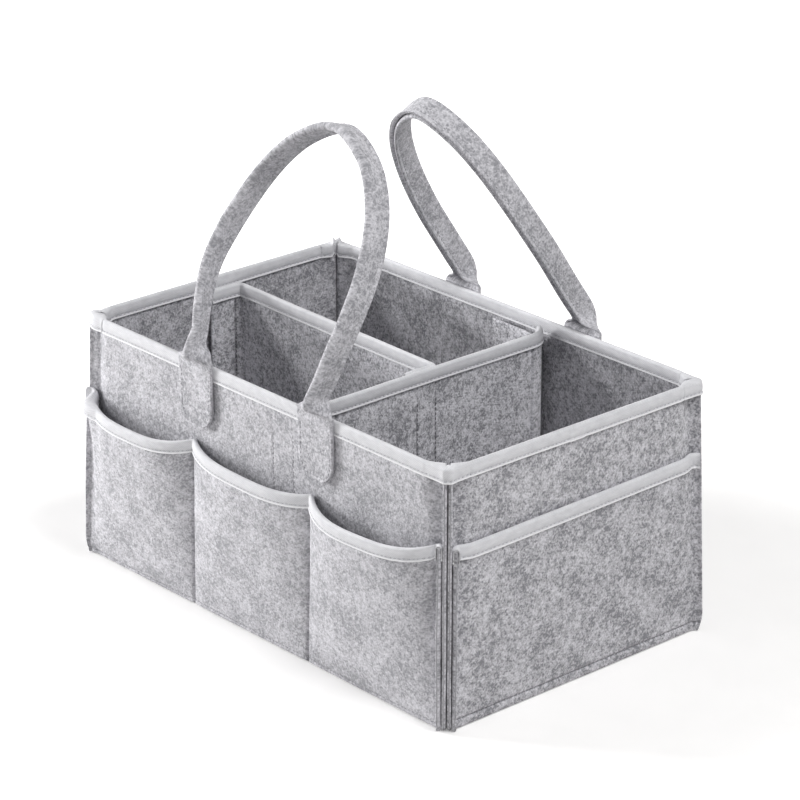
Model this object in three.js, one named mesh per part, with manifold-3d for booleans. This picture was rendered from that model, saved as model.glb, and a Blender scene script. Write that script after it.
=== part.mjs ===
// A felt caddy for a nursery: a basket of five felt panels with pockets all round, two lift-out
// dividers and two folded felt handles. Millimetres, +Z up. The long side with +X to the right
// faces -Y, and the origin is the middle of the underside.
import * as THREE from 'three';
import { mergeVertices } from 'three/addons/utils/BufferGeometryUtils.js';
import Module from 'manifold-3d';

// Basket
const RIM_LENGTH = 377.8; // over the corner seams
const RIM_WIDTH = 232.2;
const HEIGHT = 185.4;
const SPLAY = 5; // each corner seam stands this much further out at the floor than at the rim
const LONG_SIDE_BOW = 6.2; // how far a wall stands out at the rim between its corner seams
const END_BOW = 5.4;
const BOW_RUN = 12; // from a corner seam to where the wall has its full bow
const STEPS_UP_WALL = 5; // and up a pocket, below the binding
const FELT = 2.5;
const SEAM_ALLOWANCE = 7; // the raw edges that stand out along each corner seam
const CLEARANCE = 0.3; // between layers that lie on each other
const STEPS_PER_BEND = 5; // of a divider or round a tab's corner

// Binding tape, folded over every top edge
const TAPE = 0.6;
const BINDING_DEPTH = 10;

// Pockets. The strip on a long side is sewn down at two seams and sags open between them.
const POCKET_HEIGHT = 130.5;
const SEAM_DIP = 3.5; // the strip is pulled down where it is sewn to the wall
const SEAM_FROM_MIDDLE = [-68, 56.2];
const POCKET_BULGE = [14, 11, 14];
const POCKET_SAG = [7, 4, 7];
const FULLNESS_POWER = 3; // how squarely a pocket's mouth stands out between its seams
const RISE_POWER = 0.85; // how soon a pocket fills out above its foot
const STEPS_PER_POCKET = 10;

// Handles: a strip lies flat on the wall, then folds lengthwise into two layers above the rim
const TAB_ABOVE_POCKET = 7; // a tab's lower end lies this far above the pockets' mouths
const TAB_CORNER = 9;
const FOLD_RIDGE = 5.8; // width of the closed fold's back
const FOLD_DEPTH = 15; // from the fold's back to its two open edges
const FOLD_HEIGHT = 12; // the strip is closed this far above the rim
const FRONT_HANDLE = {
  side: -1,
  middle: 0.4,
  halfSpan: 63,
  rise: 184.5,
  skew: 4, // the top of the loop lies this far to one side of its feet
  leanDegrees: [7, 17, 35, 19],
  spreadShares: [1.12, 1.17, 1.065, 0.84, 0.49],
};
const BACK_HANDLE = {
  side: 1,
  middle: 8.5,
  halfSpan: 61.7,
  rise: 191.2,
  skew: -3,
  leanDegrees: [0, 36, 33, 27],
  spreadShares: [0.985, 0.978, 0.882, 0.702, 0.418],
};
const LEAN_AT_SHARES = [0, 0.15, 0.45, 1]; // how far up the loop each lean is met
const SPREAD_AT_SHARES = [0.2, 0.4, 0.62, 0.8, 0.93];
const LEAN_STEPS = 60;
const STRAP_STEPS = 44;
const FOLD_STEPS = 6;

// Dividers
const CROSS_DIVIDER_FROM_MIDDLE = 49.3;
const CROSS_FLAP = 60;
const CROSS_DIVIDER_DROP = 1; // its top edge lies this far below the rim
const CROSS_BEND_RADIUS = 10;
const LONG_DIVIDER_AT_WALL = 17;
const LONG_DIVIDER_AT_CROSS = 4;
const LONG_DIVIDER_DROP = 5;
const LONG_FLAP = 28;
const LONG_BEND_RADIUS = 4;

// Hook-and-loop strips that hold the divider flaps
const STRIP_WIDTH = 20;
const STRIP_THICKNESS = 1.2;
const STRIP_FOOT = 25;
const STRIP_BELOW_RIM = 20.4; // from a strip's upper end to the rim
const CROSS_STRIP_FROM_MIDDLE = 26.5;

// Places that follow from the sizes above
const HALF_TURN = Math.PI;
const WRAP = TAPE + CLEARANCE;
const SEAM_REACH = SEAM_ALLOWANCE + FELT; // from the inside corner to the tip of the seam
const BOUND_SEAM = (SEAM_REACH + WRAP) * Math.SQRT1_2; // to the tip of the seam with its binding
const INSIDE_X = RIM_LENGTH / 2 - BOUND_SEAM;
const INSIDE_Y = RIM_WIDTH / 2 - BOUND_SEAM;
const MITRE = Math.SQRT2 - 1; // a 45 degree turn moves an offset corner back by this share
const LAYER_OVER_TAPE = FELT + WRAP + CLEARANCE;
const STRIP_HEIGHT = HEIGHT - STRIP_BELOW_RIM - STRIP_FOOT;
const FLAP_STANDOFF = 2 * STRIP_THICKNESS + 3 * CLEARANCE;

// Materials
function cloth(color, roughness) {
  return new THREE.MeshStandardMaterial({ color, roughness, metalness: 0 });
}

const feltMaterial = cloth('#b3b3b6', 0.95);
const innerFeltMaterial = cloth('#a3a3a7', 0.95);
const bindingMaterial = cloth('#d6d6d9', 0.8);
const stripMaterial = cloth('#9c9ca0', 1);

function named(name, geometry, material) {
  const mesh = new THREE.Mesh(geometry, material);
  mesh.name = name;
  return mesh;
}

// Merges the shared corners and, where a mapping has mirrored the body, turns its faces out again.
function closedBody(geometry) {
  geometry.deleteAttribute('normal');
  geometry.deleteAttribute('uv');
  const body = mergeVertices(geometry);
  const place = body.getAttribute('position');
  const corners = body.getIndex();
  const [a, b, c] = [new THREE.Vector3(), new THREE.Vector3(), new THREE.Vector3()];
  let volume = 0;
  for (let i = 0; i < corners.count; i += 3) {
    a.fromBufferAttribute(place, corners.getX(i));
    b.fromBufferAttribute(place, corners.getX(i + 1));
    c.fromBufferAttribute(place, corners.getX(i + 2));
    volume += a.dot(b.cross(c));
  }
  if (volume < 0) {
    for (let i = 0; i < corners.count; i += 3) {
      const first = corners.getX(i);
      corners.setX(i, corners.getX(i + 1));
      corners.setX(i + 1, first);
    }
  }
  body.computeVertexNormals();
  return body;
}

function mapPoints(geometry, move) {
  const place = geometry.getAttribute('position');
  for (let i = 0; i < place.count; i += 1) {
    const point = move(new THREE.Vector3().fromBufferAttribute(place, i));
    place.setXYZ(i, point.x, point.y, point.z);
  }
  return geometry;
}

// The walls lean: everything sewn to them moves out towards the floor.
function splayed(point) {
  const drop = 1 - point.z / HEIGHT;
  point.x *= 1 + (SPLAY / (RIM_LENGTH / 2)) * drop;
  point.y *= 1 + (SPLAY / (RIM_WIDTH / 2)) * drop;
  return point;
}

// One thickness of cloth. It is cut flat, with a row of lines across it, and carried along the
// stations; place() says where each line's two faces lie at a station.
function sheet(stations, lines, place) {
  const geometry = new THREE.BoxGeometry(1, 1, 1, stations.length - 1, lines.length - 1, 1);
  mapPoints(geometry, (unit) => {
    const station = stations[Math.round((unit.x + 0.5) * (stations.length - 1))];
    const line = lines[Math.round((unit.y + 0.5) * (lines.length - 1))];
    return place(station, unit.z > 0 ? line.outer : line.inner);
  });
  return closedBody(geometry);
}

// The four walls. Each runs along its own u axis and faces outwards; `turn` is its place round
// the basket, `half` its half length and `base` how far its inner face lies from the middle.
const longSide = { half: INSIDE_X, base: INSIDE_Y, bow: LONG_SIDE_BOW };
const endSide = { half: INSIDE_Y, base: INSIDE_X, bow: END_BOW };
const frontSide = { ...longSide, turn: 0 };
const rightSide = { ...endSide, turn: HALF_TURN / 2 };
const backSide = { ...longSide, turn: HALF_TURN };
const leftSide = { ...endSide, turn: -HALF_TURN / 2 };
const upAxis = new THREE.Vector3(0, 0, 1);

function onSide(side, u, out, z) {
  const point = new THREE.Vector3(u, -(side.base + out), z);
  return splayed(point.applyAxisAngle(upAxis, side.turn));
}

// How far a wall bows out at a place: not at all at its corner seams and at the floor.
function bowAt(side, u, z) {
  const share = Math.min(1, Math.max(0, side.half - Math.abs(u)) / BOW_RUN);
  return (side.bow * share * z) / HEIGHT;
}

function bowStops(side) {
  return [BOW_RUN - side.half, side.half - BOW_RUN];
}

// Stations along a wall, from seam tip to seam tip. At a corner the cloth turns out by 45 degrees,
// so the raw edges of both walls lie together on the diagonal.
function seamStations(side, stops) {
  const tip = SEAM_REACH * Math.SQRT1_2;
  const corner = side.half;
  return [
    { u: -corner - tip, out: tip, uPerOut: Math.SQRT1_2, outPerOut: Math.SQRT1_2, free: false },
    { u: -corner, out: 0, uPerOut: MITRE, outPerOut: 1, free: false },
    ...stops.map((u) => ({ u, out: 0, uPerOut: 0, outPerOut: 1, free: true })),
    { u: corner, out: 0, uPerOut: -MITRE, outPerOut: 1, free: false },
    { u: corner + tip, out: tip, uPerOut: -Math.SQRT1_2, outPerOut: Math.SQRT1_2, free: false },
  ];
}

function alongSeam(side, fullness) {
  return (station, [offset, z]) => {
    const swell = station.free ? fullness(station.u, z) : { out: 0, drop: 0 };
    const bow = station.free ? bowAt(side, station.u, z) : 0;
    const u = station.u + station.uPerOut * offset;
    const out = station.out + station.outPerOut * offset + bow + swell.out;
    return onSide(side, u, out, z - swell.drop);
  };
}

function flat() {
  return { out: 0, drop: 0 };
}

function uprightLines(inner, outer, foot, top, steps) {
  return Array.from({ length: steps + 1 }, (_, i) => {
    const z = foot + ((top - foot) * i) / steps;
    return { inner: [inner, z], outer: [outer, z] };
  });
}

// A panel from the floor up, whose upper edge is bound.
function boundLines(inner, outer, top) {
  const lines = uprightLines(inner, outer, 0, top - BINDING_DEPTH, STEPS_UP_WALL);
  return [...lines, { inner: [inner, top - WRAP], outer: [outer, top - WRAP] }];
}

// A tape folded over an edge whose cloth lies between `inner` and `outer`.
function bindingLines(inner, outer, top) {
  const foot = top - BINDING_DEPTH;
  return [
    { inner: [inner - CLEARANCE, foot], outer: [inner - WRAP, foot] },
    { inner: [inner - CLEARANCE, top - TAPE], outer: [inner - WRAP, top] },
    { inner: [outer + CLEARANCE, top - TAPE], outer: [outer + WRAP, top] },
    { inner: [outer + CLEARANCE, foot], outer: [outer + WRAP, foot] },
  ];
}

// Basket walls and floor
function wall(name, side) {
  const lines = boundLines(CLEARANCE / 2, FELT, HEIGHT);
  const stations = seamStations(side, bowStops(side));
  return named(name, sheet(stations, lines, alongSeam(side, flat)), feltMaterial);
}

function bottomPanel() {
  const floor = new THREE.Shape([
    new THREE.Vector2(-INSIDE_X + CLEARANCE, -INSIDE_Y + CLEARANCE),
    new THREE.Vector2(INSIDE_X - CLEARANCE, -INSIDE_Y + CLEARANCE),
    new THREE.Vector2(INSIDE_X - CLEARANCE, INSIDE_Y - CLEARANCE),
    new THREE.Vector2(-INSIDE_X + CLEARANCE, INSIDE_Y - CLEARANCE),
  ]);
  const geometry = new THREE.ExtrudeGeometry(floor, { depth: FELT, bevelEnabled: false });
  return named('bottom_panel', closedBody(mapPoints(geometry, splayed)), innerFeltMaterial);
}

const CORNERS = [[1, -1], [1, 1], [-1, 1], [-1, -1]];

// Plan outline round the outside of the basket, `offset` outside the inner faces of the walls,
// which runs out round each corner seam and `past` its tip.
function seamOutline(offset, past) {
  const tip = (SEAM_REACH + past) * Math.SQRT1_2;
  const half = offset * Math.SQRT1_2;
  return CORNERS.flatMap(([sx, sy], i) => {
    const along = [
      new THREE.Vector2(sx * (INSIDE_X - BOW_RUN), sy * (INSIDE_Y + LONG_SIDE_BOW + offset)),
      new THREE.Vector2(sx * (INSIDE_X - MITRE * offset), sy * (INSIDE_Y + offset)),
      new THREE.Vector2(sx * (INSIDE_X + tip - half), sy * (INSIDE_Y + tip + half)),
      new THREE.Vector2(sx * (INSIDE_X + tip + half), sy * (INSIDE_Y + tip - half)),
      new THREE.Vector2(sx * (INSIDE_X + offset), sy * (INSIDE_Y - MITRE * offset)),
      new THREE.Vector2(sx * (INSIDE_X + END_BOW + offset), sy * (INSIDE_Y - BOW_RUN)),
    ];
    return i % 2 === 0 ? along : along.reverse();
  });
}

function rectangle(inset) {
  const [x, y] = [INSIDE_X - inset, INSIDE_Y - inset];
  return CORNERS.flatMap(([sx, sy], i) => {
    const along = [
      new THREE.Vector2(sx * (INSIDE_X - BOW_RUN), sy * (y + LONG_SIDE_BOW)),
      new THREE.Vector2(sx * x, sy * y),
      new THREE.Vector2(sx * (x + END_BOW), sy * (INSIDE_Y - BOW_RUN)),
    ];
    return i % 2 === 0 ? along : along.reverse();
  });
}

// The outlines have the bow of the rim; the binding's lower edge bows out a little less.
function lessBowed(point) {
  const long = bowAt(frontSide, point.x, HEIGHT - point.z);
  const end = bowAt(rightSide, point.y, HEIGHT - point.z);
  return point.sub(new THREE.Vector3(Math.sign(point.x) * end, Math.sign(point.y) * long, 0));
}

function ring(outline, hole, foot, top) {
  const shape = new THREE.Shape(outline);
  shape.holes.push(new THREE.Path(hole));
  const geometry = new THREE.ExtrudeGeometry(shape, { depth: top - foot, bevelEnabled: false });
  return closedBody(geometry.translate(0, 0, foot));
}

const wasm = await Module();
wasm.setup();

function toSolid(geometry) {
  return new wasm.Manifold(
    new wasm.Mesh({
      numProp: 3,
      vertProperties: new Float32Array(geometry.getAttribute('position').array),
      triVerts: new Uint32Array(geometry.getIndex().array),
    }),
  );
}

function fromSolid(solid) {
  const mesh = solid.getMesh();
  const geometry = new THREE.BufferGeometry();
  geometry.setAttribute('position', new THREE.BufferAttribute(mesh.vertProperties, 3));
  geometry.setIndex(new THREE.BufferAttribute(mesh.triVerts, 1));
  return geometry;
}

function rimBinding() {
  const outside = seamOutline(FELT + WRAP, WRAP);
  const foot = HEIGHT - BINDING_DEPTH;
  const outerFace = ring(outside, seamOutline(FELT + CLEARANCE, CLEARANCE), foot, HEIGHT);
  const fold = ring(outside, rectangle(WRAP), HEIGHT - TAPE, HEIGHT);
  const innerFace = ring(rectangle(CLEARANCE), rectangle(WRAP), foot, HEIGHT);
  const solid = toSolid(outerFace).add(toSolid(fold)).add(toSolid(innerFace));
  const geometry = mapPoints(fromSolid(solid), (point) => splayed(lessBowed(point)));
  return named('rim_binding', closedBody(geometry), bindingMaterial);
}

// Pockets on the long sides
function pocketEdges(half, seams) {
  return [-half, ...seams, half];
}

function pocketFullness(edges, bulges, sags) {
  return (u, z) => {
    const last = bulges.length - 1;
    const pocket = Math.min(last, edges.findIndex((edge, i) => i > 0 && u <= edges[i]) - 1);
    const share = (u - edges[pocket]) / (edges[pocket + 1] - edges[pocket]);
    const across = 1 - Math.abs(2 * share - 1) ** FULLNESS_POWER;
    const up = Math.max(z, 0) / POCKET_HEIGHT;
    const nearSeam = seamDip(u, edges);
    return {
      out: bulges[pocket] * across * up ** RISE_POWER,
      drop: (sags[pocket] * across + nearSeam) * up,
    };
  };
}

// The strip's edge comes down gently from each corner seam to the two pocket seams.
function seamDip(u, edges) {
  const [start, first] = edges;
  const [last, end] = edges.slice(-2);
  if (u < first) return (SEAM_DIP * (u - start)) / (first - start);
  if (u > last) return (SEAM_DIP * (end - u)) / (end - last);
  return SEAM_DIP;
}

function pocketStops(edges) {
  const stops = [];
  for (let pocket = 0; pocket < edges.length - 1; pocket += 1) {
    for (let step = pocket === 0 ? 1 : 0; step < STEPS_PER_POCKET; step += 1) {
      stops.push(edges[pocket] + ((edges[pocket + 1] - edges[pocket]) * step) / STEPS_PER_POCKET);
    }
  }
  return stops;
}

function pocketStrip(name, side, seams, bulges, sags) {
  const edges = pocketEdges(side.half, seams);
  const stops = [...pocketStops(edges), ...bowStops(side)].sort((a, b) => a - b);
  const stations = seamStations(side, stops);
  const place = alongSeam(side, pocketFullness(edges, bulges, sags));
  const outer = LAYER_OVER_TAPE + FELT;
  const lines = boundLines(LAYER_OVER_TAPE, outer, POCKET_HEIGHT);
  const tape = bindingLines(LAYER_OVER_TAPE, outer, POCKET_HEIGHT);
  return [
    named(`${name}_pocket_strip`, sheet(stations, lines, place), feltMaterial),
    named(`${name}_pocket_binding`, sheet(stations, tape, place), bindingMaterial),
  ];
}

// Flat pockets on the two ends
function endPocket(name, side) {
  const stations = seamStations(side, bowStops(side));
  const place = alongSeam(side, flat);
  const outer = LAYER_OVER_TAPE + FELT;
  const lines = boundLines(LAYER_OVER_TAPE, outer, POCKET_HEIGHT);
  const tape = bindingLines(LAYER_OVER_TAPE, outer, POCKET_HEIGHT);
  return [
    named(`${name}_pocket_panel`, sheet(stations, lines, place), feltMaterial),
    named(`${name}_pocket_binding`, sheet(stations, tape, place), bindingMaterial),
  ];
}

// Hook-and-loop strips
function wallStrip(name, side, middle) {
  const [inner, outer] = [-CLEARANCE - STRIP_THICKNESS, -CLEARANCE];
  const lines = uprightLines(inner, outer, STRIP_FOOT, STRIP_FOOT + STRIP_HEIGHT, 1);
  const ends = [middle - STRIP_WIDTH / 2, middle + STRIP_WIDTH / 2];
  const stations = ends.map((u) => ({ u, out: 0, uPerOut: 0, outPerOut: 1, free: true }));
  return named(name, sheet(stations, lines, alongSeam(side, flat)), stripMaterial);
}

function uprightStrip(name, [x, y], [width, depth]) {
  const geometry = new THREE.BoxGeometry(width, depth, STRIP_HEIGHT);
  geometry.translate(x, y, STRIP_FOOT + STRIP_HEIGHT / 2);
  return named(name, closedBody(geometry), stripMaterial);
}

// Dividers: a plan path with rounded bends, carried upright
function bentPath(corners, radius) {
  const stations = [];
  const normal = (direction) => new THREE.Vector2(direction.y, -direction.x);
  const heading = (i) => corners[i + 1].clone().sub(corners[i]).normalize();
  stations.push({ at: corners[0], normal: normal(heading(0)) });
  for (let i = 1; i < corners.length - 1; i += 1) {
    const before = heading(i - 1);
    const turn = Math.atan2(before.cross(heading(i)), before.dot(heading(i)));
    const setback = radius * Math.tan(Math.abs(turn) / 2);
    const start = corners[i].clone().addScaledVector(before, -setback);
    const centre = start.clone().addScaledVector(normal(before), -Math.sign(turn) * radius);
    for (let step = 0; step <= STEPS_PER_BEND; step += 1) {
      const angle = (turn * step) / STEPS_PER_BEND;
      const at = start.clone().rotateAround(centre, angle);
      stations.push({ at, normal: normal(before).rotateAround(new THREE.Vector2(), angle) });
    }
  }
  const last = corners.length - 1;
  stations.push({ at: corners[last], normal: normal(heading(last - 1)) });
  return stations;
}

function placeUpright(station, [offset, z]) {
  const at = station.at.clone().addScaledVector(station.normal, offset);
  return new THREE.Vector3(at.x, at.y, z);
}

function divider(name, corners, radius, top) {
  const stations = bentPath(corners.map(([x, y]) => new THREE.Vector2(x, y)), radius);
  const lines = uprightLines(-FELT / 2, FELT / 2, FELT + CLEARANCE, top - WRAP, 1);
  const tape = bindingLines(-FELT / 2, FELT / 2, top);
  return [
    named(`${name}_panel`, sheet(stations, lines, placeUpright), innerFeltMaterial),
    named(`${name}_binding`, sheet(stations, tape, placeUpright), bindingMaterial),
  ];
}

function crossDivider() {
  const x = CROSS_DIVIDER_FROM_MIDDLE;
  const y = flapPlace(backSide).y;
  const corners = [[x - CROSS_FLAP, -y], [x, -y], [x, y], [x - CROSS_FLAP, y]];
  const flapStripY = y + FELT / 2 + CLEARANCE + STRIP_THICKNESS / 2;
  const onFront = [CROSS_STRIP_FROM_MIDDLE, -flapStripY];
  const onBack = [CROSS_STRIP_FROM_MIDDLE, flapStripY];
  const hookX = x - FELT / 2 - CLEARANCE - STRIP_THICKNESS / 2;
  const onPanel = [hookX, flapStripMiddle(LONG_DIVIDER_AT_CROSS)];
  const group = new THREE.Group();
  group.add(...divider('cross_divider', corners, CROSS_BEND_RADIUS, HEIGHT - CROSS_DIVIDER_DROP));
  group.add(uprightStrip('cross_divider_loop_strip_front', onFront, [STRIP_WIDTH, STRIP_THICKNESS]));
  group.add(uprightStrip('cross_divider_loop_strip_back', onBack, [STRIP_WIDTH, STRIP_THICKNESS]));
  group.add(uprightStrip('cross_divider_hook_strip', onPanel, [STRIP_THICKNESS, STRIP_WIDTH]));
  return group;
}

// Where a divider's flap stands: its strip meets the wall's strip at their feet.
function flapPlace(side) {
  const out = bowAt(side, 0, STRIP_FOOT) - FLAP_STANDOFF - FELT / 2;
  return onSide(side, 0, out, STRIP_FOOT);
}

// A flap of the long divider turns towards the front; its strip lies beside the bend.
function flapStripMiddle(dividerY) {
  return dividerY - LONG_BEND_RADIUS - STRIP_WIDTH / 2;
}

function longDivider() {
  const left = flapPlace(leftSide).x;
  const right = CROSS_DIVIDER_FROM_MIDDLE - FELT - FLAP_STANDOFF;
  const [wallY, crossY] = [LONG_DIVIDER_AT_WALL, LONG_DIVIDER_AT_CROSS];
  const corners = [[right, crossY - LONG_FLAP], [right, crossY], [left, wallY], [left, wallY - LONG_FLAP]];
  const fromFlap = FELT / 2 + CLEARANCE + STRIP_THICKNESS / 2;
  const onRight = [right + fromFlap, flapStripMiddle(crossY)];
  const onLeft = [left - fromFlap, flapStripMiddle(wallY)];
  const group = new THREE.Group();
  group.add(...divider('long_divider', corners, LONG_BEND_RADIUS, HEIGHT - LONG_DIVIDER_DROP));
  group.add(uprightStrip('long_divider_loop_strip_right', onRight, [STRIP_THICKNESS, STRIP_WIDTH]));
  group.add(uprightStrip('long_divider_loop_strip_left', onLeft, [STRIP_THICKNESS, STRIP_WIDTH]));
  return group;
}

// Handles
const TAB_WIDTH = FOLD_RIDGE + 2 * FOLD_DEPTH;
const FOOT_Y = INSIDE_Y + LONG_SIDE_BOW + LAYER_OVER_TAPE + FELT;

function tab(name, side, middle) {
  const half = TAB_WIDTH / 2;
  const foot = POCKET_HEIGHT + TAB_ABOVE_POCKET;
  const outline = new THREE.Shape();
  outline.moveTo(-half, HEIGHT + CLEARANCE);
  outline.lineTo(-half, foot + TAB_CORNER);
  outline.absarc(-half + TAB_CORNER, foot + TAB_CORNER, TAB_CORNER, HALF_TURN, 1.5 * HALF_TURN);
  outline.absarc(half - TAB_CORNER, foot + TAB_CORNER, TAB_CORNER, 1.5 * HALF_TURN, 2 * HALF_TURN);
  outline.lineTo(half, HEIGHT + CLEARANCE);
  const extrusion = { depth: FELT, bevelEnabled: false, curveSegments: STEPS_PER_BEND };
  const geometry = new THREE.ExtrudeGeometry(outline, extrusion);
  mapPoints(geometry, (point) => {
    const u = middle + point.x;
    return onSide(side, u, LAYER_OVER_TAPE + point.z + bowAt(side, u, point.y), point.y);
  });
  return named(name, closedBody(geometry), feltMaterial);
}

// The handle's side view, walked up from its foot: how far in and how high it is at each step.
function sideView(handle) {
  const stride = (handle.rise + FOLD_RIDGE) / LEAN_STEPS;
  const steps = [{ in: 0, high: 0, lean: leanAt(handle, 0) }];
  for (let i = 1; i <= LEAN_STEPS; i += 1) {
    const lean = leanAt(handle, (i * stride) / handle.rise);
    const before = steps[i - 1];
    const middle = (lean + before.lean) / 2;
    steps.push({
      in: before.in + stride * Math.sin(middle),
      high: before.high + stride * Math.cos(middle),
      lean,
    });
  }
  return { steps, stride };
}

function leanAt(handle, share) {
  const degrees = handle.leanDegrees;
  const next = Math.max(1, LEAN_AT_SHARES.findIndex((at) => at >= Math.min(share, 1)));
  const [low, high] = [LEAN_AT_SHARES[next - 1], LEAN_AT_SHARES[next]];
  const part = Math.min(1, (share - low) / (high - low));
  return THREE.MathUtils.degToRad(THREE.MathUtils.lerp(degrees[next - 1], degrees[next], part));
}

// The handle's own surface: `across` and `up` lie in it, and `inward` stands off it towards the
// middle of the basket.
function handleSurface(handle) {
  const { steps, stride } = sideView(handle);
  return (across, up, inward) => {
    const step = Math.min(LEAN_STEPS - 1, Math.max(0, Math.floor(up / stride)));
    const part = up / stride - step;
    const [low, high] = [steps[step], steps[step + 1]];
    const lean = THREE.MathUtils.lerp(low.lean, high.lean, part);
    const y = FOOT_Y - THREE.MathUtils.lerp(low.in, high.in, part) - inward * Math.cos(lean);
    const z = HEIGHT + WRAP + THREE.MathUtils.lerp(low.high, high.high, part) - inward * Math.sin(lean);
    const x = handle.middle + across + (handle.skew * up) / handle.rise;
    return new THREE.Vector3(x, handle.side * y, z);
  };
}

function handleCurve(handle) {
  const foot = new THREE.Vector2(handle.halfSpan, 0);
  const spread = handle.spreadShares.map((share, i) => {
    return new THREE.Vector2(share * handle.halfSpan, SPREAD_AT_SHARES[i] * handle.rise);
  });
  const left = [foot, ...spread].map((p) => new THREE.Vector2(-p.x, p.y));
  const right = [...spread].reverse().concat(foot);
  return new THREE.SplineCurve([...left, new THREE.Vector2(0, handle.rise), ...right]);
}

// The flat strip's cross-section: the ridge in the middle and a wing to each side of it.
function strapLines() {
  const spots = [[-1, FOLD_DEPTH], [-1, 0], [1, 0], [1, FOLD_DEPTH]];
  return spots.map(([across, wing]) => ({
    inner: { across, wing, face: FELT },
    outer: { across, wing, face: 0 },
  }));
}

// Folds the strip: `opening` is how far each wing has still to turn before it is closed. The
// closed fold lies half to each side of the flat strip's surface.
function foldedPoint({ across, wing, face }, opening) {
  const mitre = Math.tan((HALF_TURN / 2 - opening) / 2);
  const bend = FOLD_RIDGE / 2 - face * mitre;
  const side = bend + wing * Math.sin(opening) + (wing > 0 ? face * (mitre - Math.cos(opening)) : 0);
  const inward = wing > 0 ? wing * Math.cos(opening) + face * Math.sin(opening) : face;
  return [across * side, inward - (FOLD_DEPTH / 2) * Math.cos(opening)];
}

function strapStretch(name, handle, from, to, steps) {
  const curve = handleCurve(handle);
  const length = curve.getLength();
  const surface = handleSurface(handle);
  const stations = Array.from({ length: steps + 1 }, (_, i) => {
    const along = from + ((to - from) * i) / steps;
    const fromFoot = Math.min(along, length - along);
    const closed = Math.min(1, fromFoot / FOLD_HEIGHT);
    const at = curve.getPointAt(along / length);
    const upright = new THREE.Vector2(0, along < length / 2 ? 1 : -1);
    const heading = upright.lerp(curve.getTangentAt(along / length), closed).normalize();
    return { at, heading, opening: (HALF_TURN / 2) * (1 - closed) };
  });
  const place = (station, spot) => {
    const [side, inward] = foldedPoint(spot, station.opening);
    const across = station.at.x - side * station.heading.y;
    const up = station.at.y + side * station.heading.x;
    return surface(across, up, inward);
  };
  return named(name, sheet(stations, strapLines(), place), feltMaterial);
}

function handle(name, side, sizes) {
  const length = handleCurve(sizes).getLength();
  const reach = FOLD_HEIGHT + CLEARANCE;
  const stretches = {
    strap: [reach, length - reach, STRAP_STEPS],
    fold_left: [CLEARANCE, FOLD_HEIGHT, FOLD_STEPS],
    fold_right: [length - FOLD_HEIGHT, length - CLEARANCE, FOLD_STEPS],
  };
  const feet = { left: sizes.middle - sizes.halfSpan, right: sizes.middle + sizes.halfSpan };
  const group = new THREE.Group();
  Object.entries(stretches).forEach(([part, stretch]) => {
    group.add(strapStretch(`${name}_handle_${part}`, sizes, ...stretch));
  });
  Object.entries(feet).forEach(([part, x]) => {
    group.add(tab(`${name}_handle_tab_${part}`, side, -sizes.side * x));
  });
  return group;
}

function basket() {
  const group = new THREE.Group();
  group.add(bottomPanel());
  group.add(wall('front_wall', frontSide));
  group.add(wall('back_wall', backSide));
  group.add(wall('left_end_wall', leftSide));
  group.add(wall('right_end_wall', rightSide));
  group.add(rimBinding());
  const mirrored = SEAM_FROM_MIDDLE.map((u) => -u).reverse();
  group.add(...pocketStrip('front', frontSide, SEAM_FROM_MIDDLE, POCKET_BULGE, POCKET_SAG));
  group.add(...pocketStrip('back', backSide, mirrored, POCKET_BULGE, POCKET_SAG));
  group.add(...endPocket('left_end', leftSide));
  group.add(...endPocket('right_end', rightSide));
  group.add(wallStrip('front_wall_hook_strip', frontSide, CROSS_STRIP_FROM_MIDDLE));
  group.add(wallStrip('back_wall_hook_strip', backSide, -CROSS_STRIP_FROM_MIDDLE));
  group.add(wallStrip('left_end_wall_hook_strip', leftSide, -flapStripMiddle(LONG_DIVIDER_AT_WALL)));
  return group;
}

const caddy = new THREE.Group();
caddy.add(basket(), crossDivider(), longDivider());
caddy.add(handle('front', frontSide, FRONT_HANDLE), handle('back', backSide, BACK_HANDLE));

export default caddy;
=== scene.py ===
# A felt nursery caddy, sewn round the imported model: felt panels with raw edges, folded binding
# tape, thread, hook-and-loop tapes, and a studio floor and camera. Metres, in the model's frame.
import math

import bpy
import numpy as np
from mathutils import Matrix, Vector


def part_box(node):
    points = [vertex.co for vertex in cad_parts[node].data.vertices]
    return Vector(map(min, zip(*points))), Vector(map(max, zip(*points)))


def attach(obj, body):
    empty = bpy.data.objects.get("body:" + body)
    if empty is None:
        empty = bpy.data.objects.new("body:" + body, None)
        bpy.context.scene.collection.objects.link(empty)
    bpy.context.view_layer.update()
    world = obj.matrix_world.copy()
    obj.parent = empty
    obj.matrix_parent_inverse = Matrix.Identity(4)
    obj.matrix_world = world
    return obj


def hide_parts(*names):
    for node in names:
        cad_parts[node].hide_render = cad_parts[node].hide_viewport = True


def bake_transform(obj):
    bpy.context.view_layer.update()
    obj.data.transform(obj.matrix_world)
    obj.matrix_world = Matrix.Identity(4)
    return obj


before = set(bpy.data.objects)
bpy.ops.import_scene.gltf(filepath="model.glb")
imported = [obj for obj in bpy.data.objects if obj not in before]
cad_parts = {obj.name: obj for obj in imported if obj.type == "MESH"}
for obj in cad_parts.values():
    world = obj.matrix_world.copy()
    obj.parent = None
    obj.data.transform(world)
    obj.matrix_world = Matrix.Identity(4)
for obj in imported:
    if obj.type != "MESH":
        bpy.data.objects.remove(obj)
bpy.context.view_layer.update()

MM = 0.001
HALF_TURN = math.pi
QUARTER = HALF_TURN / 2
SQRT_HALF = math.sqrt(0.5)

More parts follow.
